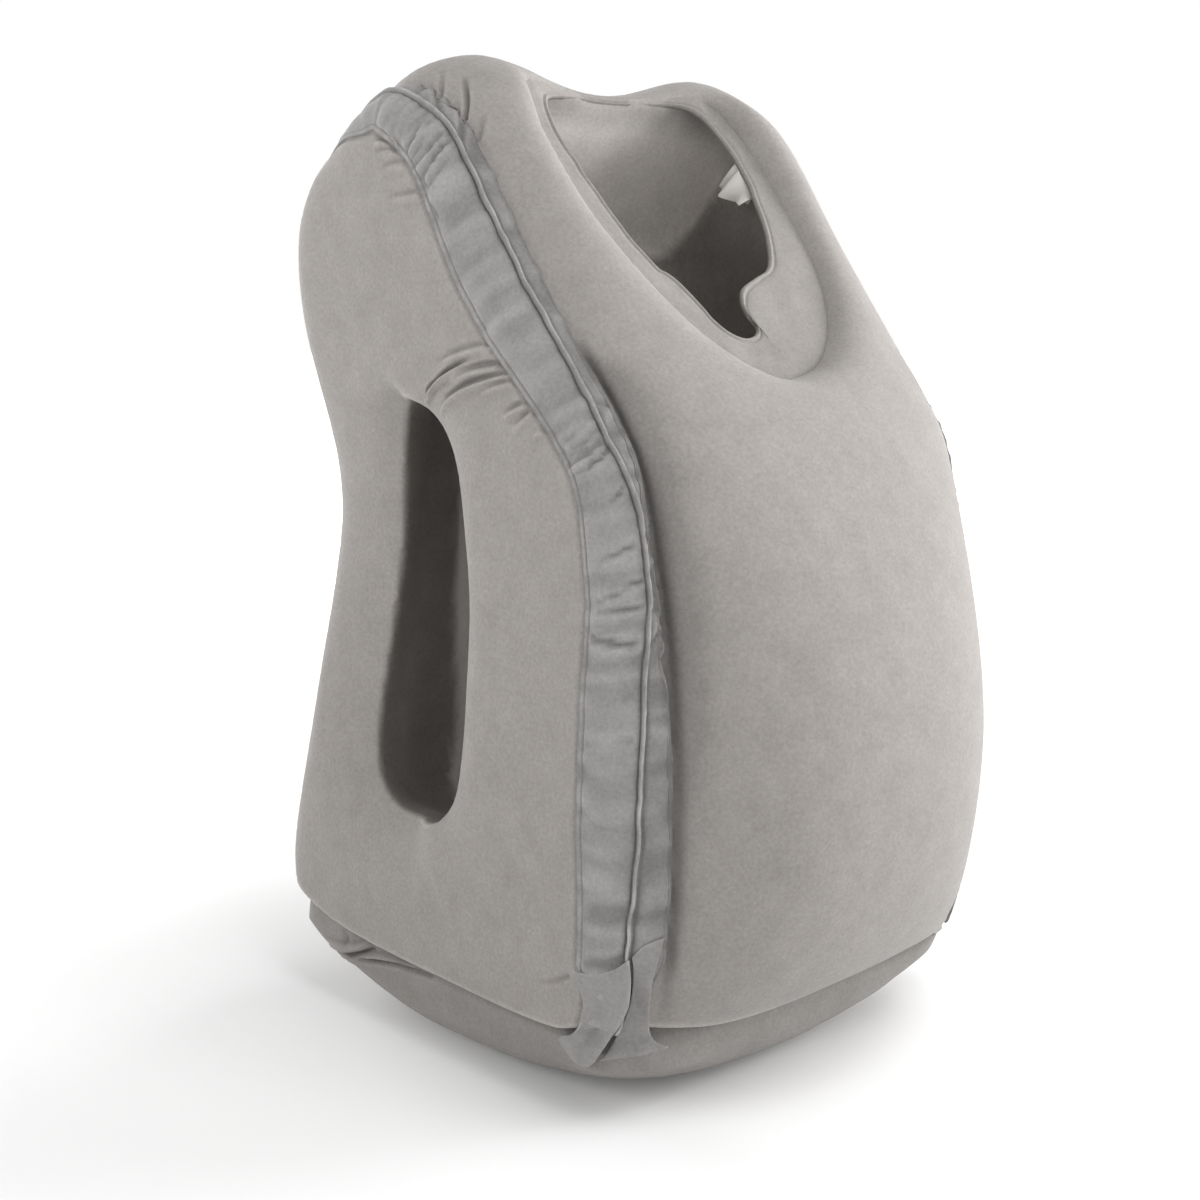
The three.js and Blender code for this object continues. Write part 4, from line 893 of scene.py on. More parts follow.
def valley_depth(p):
    """Groove in the front panel along the left corner strip, deepest at arm height."""
    gap = VALLEY_OUT + p[:, 0]
    width = np.where(gap > 0, VALLEY_PANEL_WIDTH, VALLEY_WIDTH)
    level = p[:, 2]
    deep = VALLEY_LEAST + (VALLEY_DEPTH - VALLEY_LEAST) * ease(*VALLEY_DEEPENS, level)
    front = ease(*FRONT_FROM, p[:, 1]) * ease(*VALLEY_TOP, level) * ease(*VALLEY_FOOT, level)
    return deep * np.exp(-(np.abs(gap) / width) ** VALLEY_POWER) * front


def lip_depth(p):
    """Thin weld lip around the arm holes, below zero as it stands up."""
    edge = arm_chart(p[:, 1], p[:, 2])
    rear = ease(ARM_FORWARD[1], ARM_FORWARD[0], p[:, 1])
    lip = bump_at(edge, LIP_PLACE, LIP_WIDTH) * ease(*LIP_FROM, np.abs(p[:, 0]))
    return -LIP_HEIGHT * lip * rear


def gradient(field, p, reach=0.5):
    """Slope of a field at points."""
    steps = np.eye(3) * reach
    return np.stack([field(p + step) - field(p - step) for step in steps], 1) / (2 * reach)


def settle(field, p, level, rounds, longest):
    """Points moved along the field's slope until it has the given level there."""
    p = p.copy()
    for _ in range(rounds):
        slope = gradient(field, p)
        steep = np.maximum((slope ** 2).sum(1), 0.05)
        step = slope * ((level - field(p)) / steep)[:, None]
        length = np.linalg.norm(step, axis=1)
        p += step * np.minimum(1, longest / np.maximum(length, 1e-9))[:, None]
    return p


def field_surface(field, low, high, cell):
    """Surface of a field as an even net of quads, one point for each cell it crosses."""
    axes = [np.arange(a, b + cell, cell) for a, b in zip(low, high)]
    corners = np.stack(np.meshgrid(*axes, indexing="ij"), -1)
    shape = np.array(corners.shape[:3])
    level = field(corners.reshape(-1, 3)).reshape(shape)
    cells = tuple(shape - 1)
    total = np.zeros(cells + (3,))
    count = np.zeros(cells)
    for axis in range(3):
        for a in (0, 1):
            for b in (0, 1):
                start = np.zeros(3, int)
                start[(axis + 1) % 3], start[(axis + 2) % 3] = a, b
                end = start.copy()
                end[axis] = 1
                near = level[tuple(slice(s, s + n) for s, n in zip(start, cells))]
                far = level[tuple(slice(s, s + n) for s, n in zip(end, cells))]
                crossing = (near < 0) != (far < 0)
                share = np.where(crossing, near / np.where(crossing, near - far, 1), 0)
                total[crossing] += start
                total[..., axis] += share
                count += crossing
    active = count > 0
    number = np.full(cells, -1)
    number[active] = np.arange(active.sum())
    points = corners[:-1, :-1, :-1][active] + total[active] / count[active][:, None] * cell
    faces = []
    inside = level < 0
    for axis in range(3):
        u, v = (axis + 1) % 3, (axis + 2) % 3
        ahead = np.roll(inside, -1, axis)
        at = np.argwhere(inside != ahead)
        keep = (at[:, axis] < shape[axis] - 1) & (at[:, u] > 0) & (at[:, v] > 0)
        keep &= (at[:, u] < shape[u] - 1) & (at[:, v] < shape[v] - 1)
        at = at[keep]
        around = []
        for a, b in ((0, 0), (1, 0), (1, 1), (0, 1)):
            index = at.copy()
            index[:, u] -= a
            index[:, v] -= b
            around.append(number[tuple(index.T)])
        quads = np.stack(around, 1)
        here = inside[tuple(at.T)]
        quads[~here] = quads[~here][:, ::-1]
        faces.append(quads)
    return points, np.concatenate(faces)


def evened(field, points, faces, rounds):
    """Points moved towards the middle of their neighbours and back onto the surface."""
    starts = faces.ravel()
    ends = np.roll(faces, -1, 1).ravel()
    count = np.bincount(starts, minlength=len(points))[:, None]
    for _ in range(rounds):
        middle = np.stack([np.bincount(starts, points[ends, k], len(points)) for k in range(3)], 1)
        points = points + 0.5 * (middle / count - points)
        points = settle(field, points, 0, 1, 2)
    return points


def soft_noise(p, size, seed):
    """Smooth noise between about -1 and 1 with lumps of the given size."""
    side = 64
    values = np.random.default_rng(seed).uniform(-1, 1, (side, side, side))
    q = p / size + side / 2
    i = np.floor(q).astype(int)
    f = q - i
    f = f * f * (3 - 2 * f)
    made = np.zeros(len(p))
    for a in (0, 1):
        for b in (0, 1):
            for c in (0, 1):
                weight = np.ones(len(p))
                for k, step in enumerate((a, b, c)):
                    weight = weight * (f[:, k] if step else 1 - f[:, k])
                index = (i + (a, b, c)) % side
                made += weight * values[tuple(index.T)]
    return made


def make_piece(name, points, faces, material, node):
    """Smooth-shaded object from points in millimetres."""
    mesh = bpy.data.meshes.new(name)
    mesh.from_pydata((np.asarray(points) * MM).tolist(), [], [list(map(int, face)) for face in faces])
    mesh.validate()
    turned = bmesh.new()
    turned.from_mesh(mesh)
    bmesh.ops.recalc_face_normals(turned, faces=turned.faces)
    turned.to_mesh(mesh)
    turned.free()
    mesh.shade_smooth()
    mesh.materials.append(material)
    piece = bpy.data.objects.new(name, mesh)
    bpy.context.collection.objects.link(piece)
    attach(piece, "root")
    if node:
        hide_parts(node)
    return piece


def paint(piece, painted_shading):
    """Store painted shading, painted shade and painted highlights, at each point of a piece."""
    painted_shading = np.broadcast_to(painted_shading.T if painted_shading.ndim > 1 else painted_shading, (3, len(piece.data.vertices)))
    layer = piece.data.attributes.new("painted_shading", "FLOAT_COLOR", "POINT")
    layer.data.foreach_set("color", np.vstack((painted_shading, painted_shading[:1] * 0 + 1)).T.astype(np.float32).ravel())


def grid_faces(rows, columns, closed_columns=False):
    """Quads over a grid of points stored row by row."""
    faces = []
    last = columns if closed_columns else columns - 1
    for r in range(rows - 1):
        for c in range(last):
            d = (c + 1) % columns
            faces.append((r * columns + c, r * columns + d, (r + 1) * columns + d, (r + 1) * columns + c))
    return faces


class Finish:
    """Material whose looks are worked out by nodes in the object's own coordinates."""

    def __init__(self, name, finish):
        self.material = bpy.data.materials.new(name)
        self.material.use_nodes = True
        self.nodes, self.links = self.material.node_tree.nodes, self.material.node_tree.links
        self.shader = self.nodes["Principled BSDF"]
        for socket, value in finish.items():
            self.shader.inputs[socket].default_value = value
        self.place = self.nodes.new("ShaderNodeTexCoord").outputs["Object"]

    def texture(self, kind, **values):
        """Value of a texture with its sockets set."""
        texture = self.nodes.new(kind)
        for socket, value in values.items():
            texture.inputs[socket].default_value = value
        self.links.new(self.place, texture.inputs["Vector"])
        return texture.outputs["Fac"]

    def tones(self, share, dark, light, spread=(0, 1)):
        """Colour between a dark and a light one by a value."""
        ramp = self.nodes.new("ShaderNodeValToRGB")
        for stop, place, colour in zip(ramp.color_ramp.elements, spread, (dark, light)):
            stop.position = place
            stop.color = (*colour, 1)
        self.links.new(share, ramp.inputs["Fac"])
        return ramp.outputs["Color"]

    def times(self, one, other):
        """One colour multiplied by another."""
        mix = self.nodes.new("ShaderNodeMix")
        mix.data_type = "RGBA"
        mix.blend_type = "MULTIPLY"
        mix.inputs["Factor"].default_value = 1
        self.links.new(one, mix.inputs["A"])
        self.links.new(other, mix.inputs["B"])
        return mix.outputs["Result"]

    def coloured(self, colour):
        self.links.new(colour, self.shader.inputs["Base Color"])

    def bumped(self, height, strength, distance):
        bump = self.nodes.new("ShaderNodeBump")
        bump.inputs["Strength"].default_value = strength
        bump.inputs["Distance"].default_value = distance
        self.links.new(height, bump.inputs["Height"])
        self.links.new(bump.outputs["Normal"], self.shader.inputs["Normal"])


def flock_material(name, shade, reads_painted_shading=False):
    """Short velvety flock: soft sheen, faint mottling and fine pile."""
    flock = Finish(name, FLOCK_FINISH)
    colour = np.array(FLOCK) * shade
    patches = flock.texture("ShaderNodeTexNoise", **PATCHES)
    patches = flock.tones(patches, *(colour * tone for tone in PATCH_TONES), TONE_SPREAD)
    grain = flock.texture("ShaderNodeTexNoise", **GRAIN)
    grain = flock.tones(grain, *((tone,) * 3 for tone in GRAIN_TONES), TONE_SPREAD)
    mixed = flock.times(patches, grain)
    if reads_painted_shading:
        # Painted shade and highlights stored at the piece's points darken or lighten the colour
        painted_shading = flock.nodes.new("ShaderNodeAttribute")
        painted_shading.attribute_name = "painted_shading"
        mixed = flock.times(mixed, painted_shading.outputs["Color"])
    flock.coloured(mixed)
    flock.bumped(flock.texture("ShaderNodeTexNoise", **FIBRES), *PILE)
    return flock.material


def tape_material(name):
    """Pale woven tape with a fine rib."""
    tape = Finish(name, {"Roughness": TAPE_ROUGHNESS})
    rib = tape.texture("ShaderNodeTexWave", **TAPE_RIB)
    rib.node.bands_direction = "Y"
    tape.coloured(tape.tones(rib, TAPE_DARK, TAPE_LIGHT))
    tape.bumped(rib, *TAPE_BUMP)
    return tape.material


def camera_axes():
    """Directions to the camera's right, up and back."""
    a, e = CAMERA_AZIMUTH, CAMERA_TILT
    back = np.array((math.sin(a) * math.cos(e), -math.cos(a) * math.cos(e), math.sin(e)))
    right = np.array((math.cos(a), math.sin(a), 0))
    return right, np.cross(back, right), back


def make_camera():
    """Camera at the photograph's viewing angle."""
    data = bpy.data.cameras.new("camera")
    data.lens = CAMERA_LENS
    data.sensor_width = CAMERA_SENSOR
    camera = bpy.data.objects.new("camera", data)
    turn = Matrix(np.column_stack(camera_axes()).tolist()).to_4x4()
    camera.matrix_world = Matrix.Translation([c * MM for c in CAMERA_PLACE]) @ turn
    bpy.context.collection.objects.link(camera)
    bpy.context.scene.camera = camera


def refined(points, faces, marked):
    """Mesh with each marked face cut in four and its neighbours joined up to it."""
    mesh = bmesh.new()
    corners = [mesh.verts.new(p) for p in points]
    made = [mesh.faces.new([corners[i] for i in face]) for face in faces]
    edges = {edge for face, chosen in zip(made, marked) if chosen for edge in face.edges}
    bmesh.ops.subdivide_edges(mesh, edges=list(edges), cuts=1, use_grid_fill=True)
    mesh.verts.index_update()
    points = np.array([v.co for v in mesh.verts])
    faces = [[v.index for v in face.verts] for face in mesh.faces]
    mesh.free()
    return points, faces


def middles(points, faces):
    """Middle of each face."""
    return np.array([points[list(face)].mean(0) for face in faces])


def recess_painted_shading(p):
    """Painted shading of the cloth at points: painted shade in the arm tunnels and low in the chamber,
    painted light on the chamber's walls above the crease.
    """
    _, out = slope_coordinates(p[:, 1], p[:, 2])
    tunnel = ease(*TUNNEL_EDGE, arm_field(p)) * ease(*TUNNEL_FROM, np.abs(p[:, 0]))
    chamber = ease(*CHAMBER_EDGE, hollow_field(p)) * ease(*CHAMBER_FROM, out)
    above = ease(-CREASE_SOFTNESS, CREASE_SOFTNESS, p[:, 1] + CREASE_LEAN * p[:, 2] - CREASE_PLACE)
    # Painted shade in the tunnels and low in the chamber, painted light on the chamber's walls above the
    # crease
    dark = np.maximum(tunnel, CHAMBER_PAINTED_SHADE * chamber * (1 - above))[:, None]
    painted_shading = 1 + (np.array(RECESS_PAINTED_SHADE) - 1) * dark
    return painted_shading * (1 + CHAMBER_PAINTED_LIGHT * chamber * above)[:, None]


def inner_crease(p):
    """Crease down each side wall of the opening, between its back, painted lighter, and its side, painted
    darker.
    """
    gap = p[:, 1] + CREASE_LEAN * p[:, 2] - CREASE_PLACE
    wall = ease(*CREASE_WALL, hollow_field(p)) * ease(*CREASE_OUT, np.abs(p[:, 0]))
    return CREASE_DEPTH * bump_at(gap, 0, CREASE_WIDTH) * wall * ease(*CREASE_BELOW, p[:, 2])


def above_seam(p):
    """Height over the welt along the body's bottom seam."""
    return p[:, 2] - seam_height(p[:, 0], p[:, 1]) - SEAM_WELT_UP


def refined_body(points, faces, lines, borders):
    """The body's mesh cut finer where folds, rims, edges and seams need it."""
    for folds, folds_to, rims, rims_from, valley, edges, seam in zip(*REFINED.values()):
        at = middles(points, faces)
        x, y, z = at.T
        close = close_to(at, lines, folds) & (x < folds_to)
        close |= close_to(at, borders, edges)
        close |= (np.abs(arm_chart(y, z)) < rims) & (np.abs(x) > rims_from)
        close |= np.abs(above_seam(at)) < seam
        beside = np.abs(x + VALLEY_OUT - VALLEY_MIDDLE) < valley
        close |= beside & (y < VALLEY_BEFORE) & (z < VALLEY_TOP[0])
        points, faces = refined(points, faces, close)
        points = settle(plain_body_field, points, 0, 2, 2)
    return points, faces


def make_body():
    """Inflated body with its folds, welts and grooves in one mesh."""
    points, faces = field_surface(plain_body_field, BODY_LOW, BODY_HIGH, BODY_CELL)
    points = settle(plain_body_field, points, 0, 3, 2)
    points = evened(plain_body_field, points, faces, 4)
    lines = traced(0, BVHTree.FromPolygons(points.tolist(), faces.tolist()))
    borders = [strip_border(side) for side in (-1, 1)]
    points, faces = refined_body(points, faces, lines, borders)
    out = gradient(plain_body_field, points)
    out /= np.linalg.norm(out, axis=1)[:, None]
    lip = lip_depth(points)
    welt = bump_at(above_seam(points), 0, SEAM_WELT_WIDTH)
    depth = sunk_by(points, lines) + sunk_by(points, borders) + valley_depth(points) + lip
    depth = depth - inner_crease(points) - SEAM_WELT_TALL * welt
    body = make_piece("shell", points - out * depth[:, None], faces, shell_flock, "body")
    # Painted shade in the folds and grooves, a painted highlight on the seam welt and the arm lips, and a
    # painted shadow beside the strip's far edge
    shade = (1 - CREASE_SHADE * np.clip(depth, *SHADED_DEPTH)) * (1 + SEAM_WELT_PAINTED_HIGHLIGHT * welt)
    beside = bump_at(points[:, 0], -FAR_EDGE, FAR_SHADE_WIDTH) * ease(*FRONT_FROM, points[:, 1])
    beside *= ease(*FAR_SHADE_TOP, points[:, 2]) * ease(*FAR_SHADE_FOOT, points[:, 2])
    shade *= (1 - FAR_SHADE * beside) * (1 + LIP_PAINTED_HIGHLIGHT * np.clip(-lip / LIP_HEIGHT, 0, 1))
    paint(body, recess_painted_shading(points) * shade[:, None])
    return BVHTree.FromPolygons(points.tolist(), faces)


def outline_walk():
    """Even lookup of the side outline by the way walked along it."""
    y, z = np.r_[outline["y"], outline["y"][0]], np.r_[outline["z"], outline["z"][0]]
    walked = np.r_[0, np.cumsum(np.hypot(np.diff(y), np.diff(z)))]
    return walked, y, z


strip_walk = np.arange(4, 1116, STRIP_STEP)


def waves(line, sizes, seed):
    """Waviness along a line, as a sum of noises with an amplitude and a length."""
    return sum(lift * soft_noise(line, length, seed + i) for i, (lift, length) in enumerate(sizes))


def strip_sizes(side):
    """Sizes of a strip at each place walked along the side outline."""
    walked, path_y, path_z = outline_walk()
    s = strip_walk
    sizes = {k: np.interp(s, STRIP_PLACE["walked"], STRIP_PLACE[k]) for k in STRIP_PLACE}
    sizes["far_in"] = np.full_like(s, STRIP_FAR_IN)
    sizes["proud"] = 1 - FLUSH_SHARE * ease(*FLUSH_FROM, s)
    if side > 0:
        round_by = ease(*RIGHT_TO, s) * ease(*RIGHT_FROM, s)
        for name, more in RIGHT_ROUND.items():
            sizes[name] = sizes[name] + more * round_by
        sizes["welt_out"] = sizes["welt_out"] + (RIGHT_WELT_OUT - sizes["welt_out"]) * round_by
        sizes["far_out"] = sizes["far_out"] + (RIGHT_FAR_OUT - sizes["far_out"]) * round_by
        sizes["proud"] = sizes["proud"] * (1 - (1 - RIGHT_PROUD) * round_by)
    sizes["y"], sizes["z"] = np.interp(s, walked, path_y), np.interp(s, walked, path_z)
    ty, tz = np.gradient(sizes["y"]), np.gradient(sizes["z"])
    length = np.hypot(ty, tz)
    sizes["in_y"], sizes["in_z"] = tz / length, -ty / length
    seed = WAVE_SEED[side]
    line = np.column_stack((s, np.zeros_like(s), np.zeros_like(s)))
    sizes["welt_wave"] = waves(line, WELT_WAVES, seed)
    sizes["rim_wave"] = waves(line, RIM_WAVES, seed + 2) * ease(*RIM_WAVES_TO, s)
    sizes["welt_tall"] = WELT_TALL[side] * (1 + waves(line, WELT_TALL_WAVES, seed + 4))
    fall = LEFT_FALL * (sizes["edge_out"] - sizes["welt_out"])
    sizes["left"] = np.hypot(sizes["edge"] - sizes["welt"], fall) + LEFT_MORE
    sizes["right"] = RIGHT_MORE + RIGHT_STRETCH * (sizes["welt_out"] - sizes["far_out"])
    return {k: values[:, None] for k, values in sizes.items()}


def strip_surface(side, sizes, mm, level):
    """Points over a strip at places across it, in mm from its edge, and heights."""
    left, right = sizes["left"], sizes["right"]
    share = np.where(mm <= left, mm / left, 1 + (mm - left) / right)
    first, second = np.clip(share, -1, 1), np.clip(share - 1, 0, 2)
    inward = sizes["edge"] + (sizes["welt"] - sizes["edge"]) * first
    inward = inward + (sizes["far_in"] - sizes["welt"]) * second
    inward = inward - sizes["welt_wave"] * bump_at(share, 1, WELT_SPREAD)
    out = sizes["edge_out"] - (sizes["edge_out"] - sizes["welt_out"]) * ease(WELT_SPREAD, 1, first)
    out = out - (sizes["welt_out"] - sizes["far_out"]) * second
    out = out + sizes["rim_wave"] * ease(1.5, 2, share)
    y = sizes["y"] + sizes["in_y"] * inward
    z = sizes["z"] + sizes["in_z"] * inward
    guess = np.stack((side * out, y, z), -1).reshape(-1, 3)
    level = np.broadcast_to(level, mm.shape).ravel()
    return settle(outer_field, guess, level, 7, 5).reshape(mm.shape + (3,))


def strip_border(side):
    """Line on the body along a strip's edge on the side panel."""
    sizes = strip_sizes(side)
    line = strip_surface(side, sizes, np.full((len(strip_walk), 1), -1.0), 0.0)[:, 0]
    return np.column_stack((line, np.full(len(line), EDGE_DEPTH), np.full(len(line), EDGE_WIDTH)))[::3]


def strip_columns(left_wide, right_wide):
    """Places across a strip in mm from its edge, at one place along it."""
    band = np.linspace(BAND_FROM, left_wide + BAND_TO, BAND_COLUMNS)
    welt = left_wide + WELT_SECTION["place"]
    rim = left_wide + right_wide
    side = np.linspace(left_wide + SIDE_FROM, rim + SIDE_TO, SIDE_COLUMNS)
    return np.r_[FLANGE_COLUMNS, band, welt, side, rim + np.array(RIM_COLUMNS)]


def strip_height(sizes, mm):
    """Height of a strip over the body, without its welt and pleats."""
    left, right = sizes["left"], sizes["right"]
    from_welt, from_rim = mm - left, mm - left - right
    across = np.clip((mm - PUFF_FROM) / (left - PUFF_MARGIN), 0, 1)
    puff = np.maximum(1 - np.abs(2 * across - 1) ** PUFF_POWER, 0)
    height = FLANGE_HEIGHT * ease(*FLANGE_RISES, mm) + marks_at(mm, FLANGE_STITCH)
    height = height + PUFF_HEIGHT * puff * (mm < left) + WELT_FOOT * ease(*WELT_FOOT_RISES, from_welt)
    height = (height + marks_at(from_rim, RIM_STITCH)) * sizes["proud"]
    return height - FLANGE_TURN * ease(*FLANGE_TURNS, mm) - RIM_TURN * ease(*RIM_TURNS, from_rim)


def puckered(sizes, walked, mm):
    """How far the puckers sink a strip at places along and across it."""
    left, right = sizes["left"][:, 0], sizes["right"][:, 0]
    at = np.stack((walked, mm), -1)
    dent = np.zeros(mm.shape)
    for s1, a1, s2, a2, depth, width in zip(*PUCKERS.values()):
        start, end = (
            np.array((s, np.interp(s, strip_walk, left) + np.interp(s, strip_walk, right) * (a - 1)))
            for s, a in ((s1, a1), (s2, a2))
        )
        span = end - start
        t = np.clip((at - start) @ span / (span @ span), 0, 1)
        gap = np.linalg.norm(at - start - t[..., None] * span, axis=-1)
        dent += depth * fold_section(gap, width)
    return dent


def strip_ribs(outside, walked, mm, side):
    """Uneven lift of a strip: a slow billow and ribs that run across it."""
    ribs = np.column_stack((walked.ravel(), RIB_SLANT * mm.ravel(), 0 * mm.ravel()))
    ribbed = RIB_LIFT * soft_noise(ribs, RIB_SPAN, RIB_SEED)
    gathered = ease(*GATHER_FROM, walked.ravel()) * ease(*GATHER_TO, walked.ravel())
    gathered = SHOULDER_RIB_LIFT * gathered * soft_noise(ribs, SHOULDER_RIB_SPAN, SHOULDER_RIB_SEED)
    billow = BILLOW * soft_noise(outside, BILLOW_SPAN, BILLOW_SEED + side)
    return (billow + ribbed + gathered).reshape(mm.shape)


def strip_painted_shading(dent, mm, from_welt, from_rim):
    """Painted shading of a strip: painted shade in its folds, along its edge and weld groove, on its
    front band and at its far rim, and a painted highlight on the welt.
    """
    painted_shading = 1 - CREASE_SHADE * np.clip(dent, *PLEAT_SHADED)
    painted_shading *= (1 + marks_at(from_welt, WELT_PAINTED_SHADING)) * (1 + marks_at(mm, EDGE_PAINTED_SHADING))
    return painted_shading * (1 - SIDE_SHADE * ease(*SIDE_SHADE_FROM, from_welt) + marks_at(from_rim, RIM_PAINTED_SHADOW))


def make_strip(side, lines, flaps):
    """Corner strip: a flat weld flange, a puffed band, the standing welt and a flat band."""
    sizes = strip_sizes(side)
    left, right = sizes["left"], sizes["right"]
    mm = np.array([strip_columns(a, b) for a, b in zip(left[:, 0], right[:, 0])])
    rows, count = mm.shape
    from_welt, from_rim = mm - left, mm - left - right
    height = strip_height(sizes, mm)
    outside = strip_surface(side, sizes, mm, height).reshape(-1, 3)
    out = gradient(outer_field, outside)
    out /= np.linalg.norm(out, axis=1)[:, None]
    if lines is None:
        lines = traced(1, BVHTree.FromPolygons(outside.tolist(), grid_faces(rows, count)))
    walked = np.broadcast_to(strip_walk[:, None], mm.shape)
    dent = sunk_by(outside, lines).reshape(mm.shape) + puckered(sizes, walked, mm)
    calm = 1 - CALM_SHARE * (1 - ease(*CALM_FLANGE, mm)) - CALM_SHARE * bump_at(from_welt, 0, CALM_WELT)
    uneven = strip_ribs(outside, walked, mm, side) * sizes["proud"]
    pleats = smooth_min(uneven - dent, PLEAT_MOST, PLEAT_BLEND) * calm * ease(*CALM_RIM, from_rim)
    fin = np.zeros(count)
    before = len(FLANGE_COLUMNS) + BAND_COLUMNS
    fin[before:before + len(WELT_SECTION["height"])] = WELT_SECTION["height"]
    lift = fin * sizes["welt_tall"] * sizes["proud"] + pleats
    within = (mm > STRIP_INSIDE) & (from_rim < -STRIP_INSIDE)
    lift = np.where(within, smooth_max(lift, STRIP_CLEAR - height, CLEAR_BLEND), lift)
    points = (outside + out * lift.ravel()[:, None]).reshape(rows, count, 3)
    under = strip_surface(side, sizes, mm[:, [*STRIP_UNDER, count - 1]], STRIP_SUNK)
    rings = np.concatenate((points, under[:, ::-1]), 1)
    around = rings.shape[1]
    faces = grid_faces(rows, around, closed_columns=True)
    faces += [tuple(range(around - 1, -1, -1)), tuple(range((rows - 1) * around, rows * around))]
    rings = rings.reshape(-1, 3)
    # Painted shade and highlights of the strip, stored at its points
    painted_shading = strip_painted_shading(dent - uneven, mm, from_welt, from_rim)
    painted_shading = np.concatenate((painted_shading, np.ones_like(under[..., 0])), 1).ravel()
    for grid, shade in flaps:
        sheet, quads = thin_sheet(grid, FLAP_THICKNESS)
        faces += [tuple(i + len(rings) for i in quad) for quad in quads]
        rings = np.vstack((rings, sheet * (-side, 1, 1)))
        painted_shading = np.r_[painted_shading, shade.ravel(), shade.ravel()]
    name = "left" if side < 0 else "right"
    strip = make_piece(f"corner_strip_{name}", rings, faces, strip_flock, f"strip_{name}")
    paint(strip, painted_shading)
    return lines


def finer(grid, steps):
    """Smooth grid of points and heights through a coarse one."""
    rows = np.stack([smooth_line(row, steps) for row in grid])
    return np.stack([smooth_line(rows[:, k], steps) for k in range(rows.shape[1])], 1)


def thin_sheet(grid, thickness):
    """Closed thin solid whose outer face is a grid of points."""
    rows, columns = grid.shape[:2]
    ways = np.cross(np.gradient(grid, axis=1), np.gradient(grid, axis=0))
    under = grid - thickness * ways / np.linalg.norm(ways, axis=2)[..., None]
    points = np.vstack((grid.reshape(-1, 3), under.reshape(-1, 3)))
    count = rows * columns
    faces = [face[::-1] for face in grid_faces(rows, columns)]
    faces += [tuple(i + count for i in face[::-1]) for face in faces]
    rim = [c for c in range(columns)] + [r * columns + columns - 1 for r in range(1, rows)]
    rim += [(rows - 1) * columns + c for c in range(columns - 2, -1, -1)]
    rim += [r * columns for r in range(rows - 2, 0, -1)]
    faces += [(a, b, b + count, a + count) for a, b in zip(rim, rim[1:] + rim[:1])]
    return points, faces


def corner_flaps(trees, share):
    """Folded cloth at the foot of the left strip, laid over what is seen behind it."""
    flaps = []
    for flap in np.unique(FLAPS["flap"]):
        at = FLAPS["flap"] == flap
        across = FLAP_ACROSS[int(flap)]
        grid = np.stack([FLAPS[k][at].reshape(-1, across) for k in ("px", "py", "lift")], -1)
        grid = finer(grid * (1, 1, share), FLAP_STEPS)
        lift = grid[..., 2] / share
        # Painted shade in the flap's low places, a painted highlight on its raised ones and along its
        # rims
        painted_shading = 1 + FLAP_SHADE * np.clip(lift - blurred(lift, FLAP_SHADE_BLUR), -FLAP_SHADED, FLAP_SHADED)
        for rim in (painted_shading[0], painted_shading[-1], painted_shading[:, 0], painted_shading[:, -1]):
            rim *= FLAP_RIM_PAINTED_HIGHLIGHT
        ways = ways_through(grid[..., 0].ravel(), grid[..., 1].ravel())
        far = np.full(len(ways), np.inf)
        for tree in trees:
            found = [tree.ray_cast(Vector(CAMERA_PLACE), Vector(way))[3] for way in ways]
            far = np.minimum(far, [np.inf if f is None else f for f in found])
        far = far.reshape(grid.shape[:2])
        far[np.isinf(far)] = far[np.isfinite(far)].max()
        near = blurred(np.minimum(blurred(far, FLAP_BLUR), far) - grid[..., 2], FLAP_LAST_BLUR)
        places = np.array(CAMERA_PLACE) + ways.reshape(grid.shape) * near[..., None]
        flaps.append((places, painted_shading))
    return flaps


def base_points():
    """Rings of points up the base cushion, and which way is out at each."""
    angle = 2 * np.pi * np.arange(BASE_AROUND) / BASE_AROUND
    c, s = np.cos(angle), np.sin(angle)
    rings = []
    for z in BASE_HEIGHTS:
        half, front, back, power = (
            np.interp(z, BASE_SECTIONS["z"], BASE_SECTIONS[k]) for k in ("half", "front", "back", "power")
        )
        scale = (np.abs(c) ** power + np.abs(s) ** power) ** (-1 / power)
        x = half * c * scale
        y = (front + back) / 2 + (back - front) / 2 * s * scale
        rings.append(np.column_stack((x, y, np.full(BASE_AROUND, z))))
    points = np.array(rings)
    top = seam_height(points[..., 0], points[..., 1]) + BASE_HIDDEN
    points[..., 2] = np.minimum(points[..., 2], top)
    ahead, up = np.gradient(points, axis=1), np.gradient(points, axis=0)
    ahead[:, 0] = ahead[:, -1] = points[:, 1] - points[:, -2]
    out = np.cross(ahead, up)
    out /= np.maximum(np.linalg.norm(out, axis=2), 1e-9)[..., None]
    return points.reshape(-1, 3), out.reshape(-1, 3)


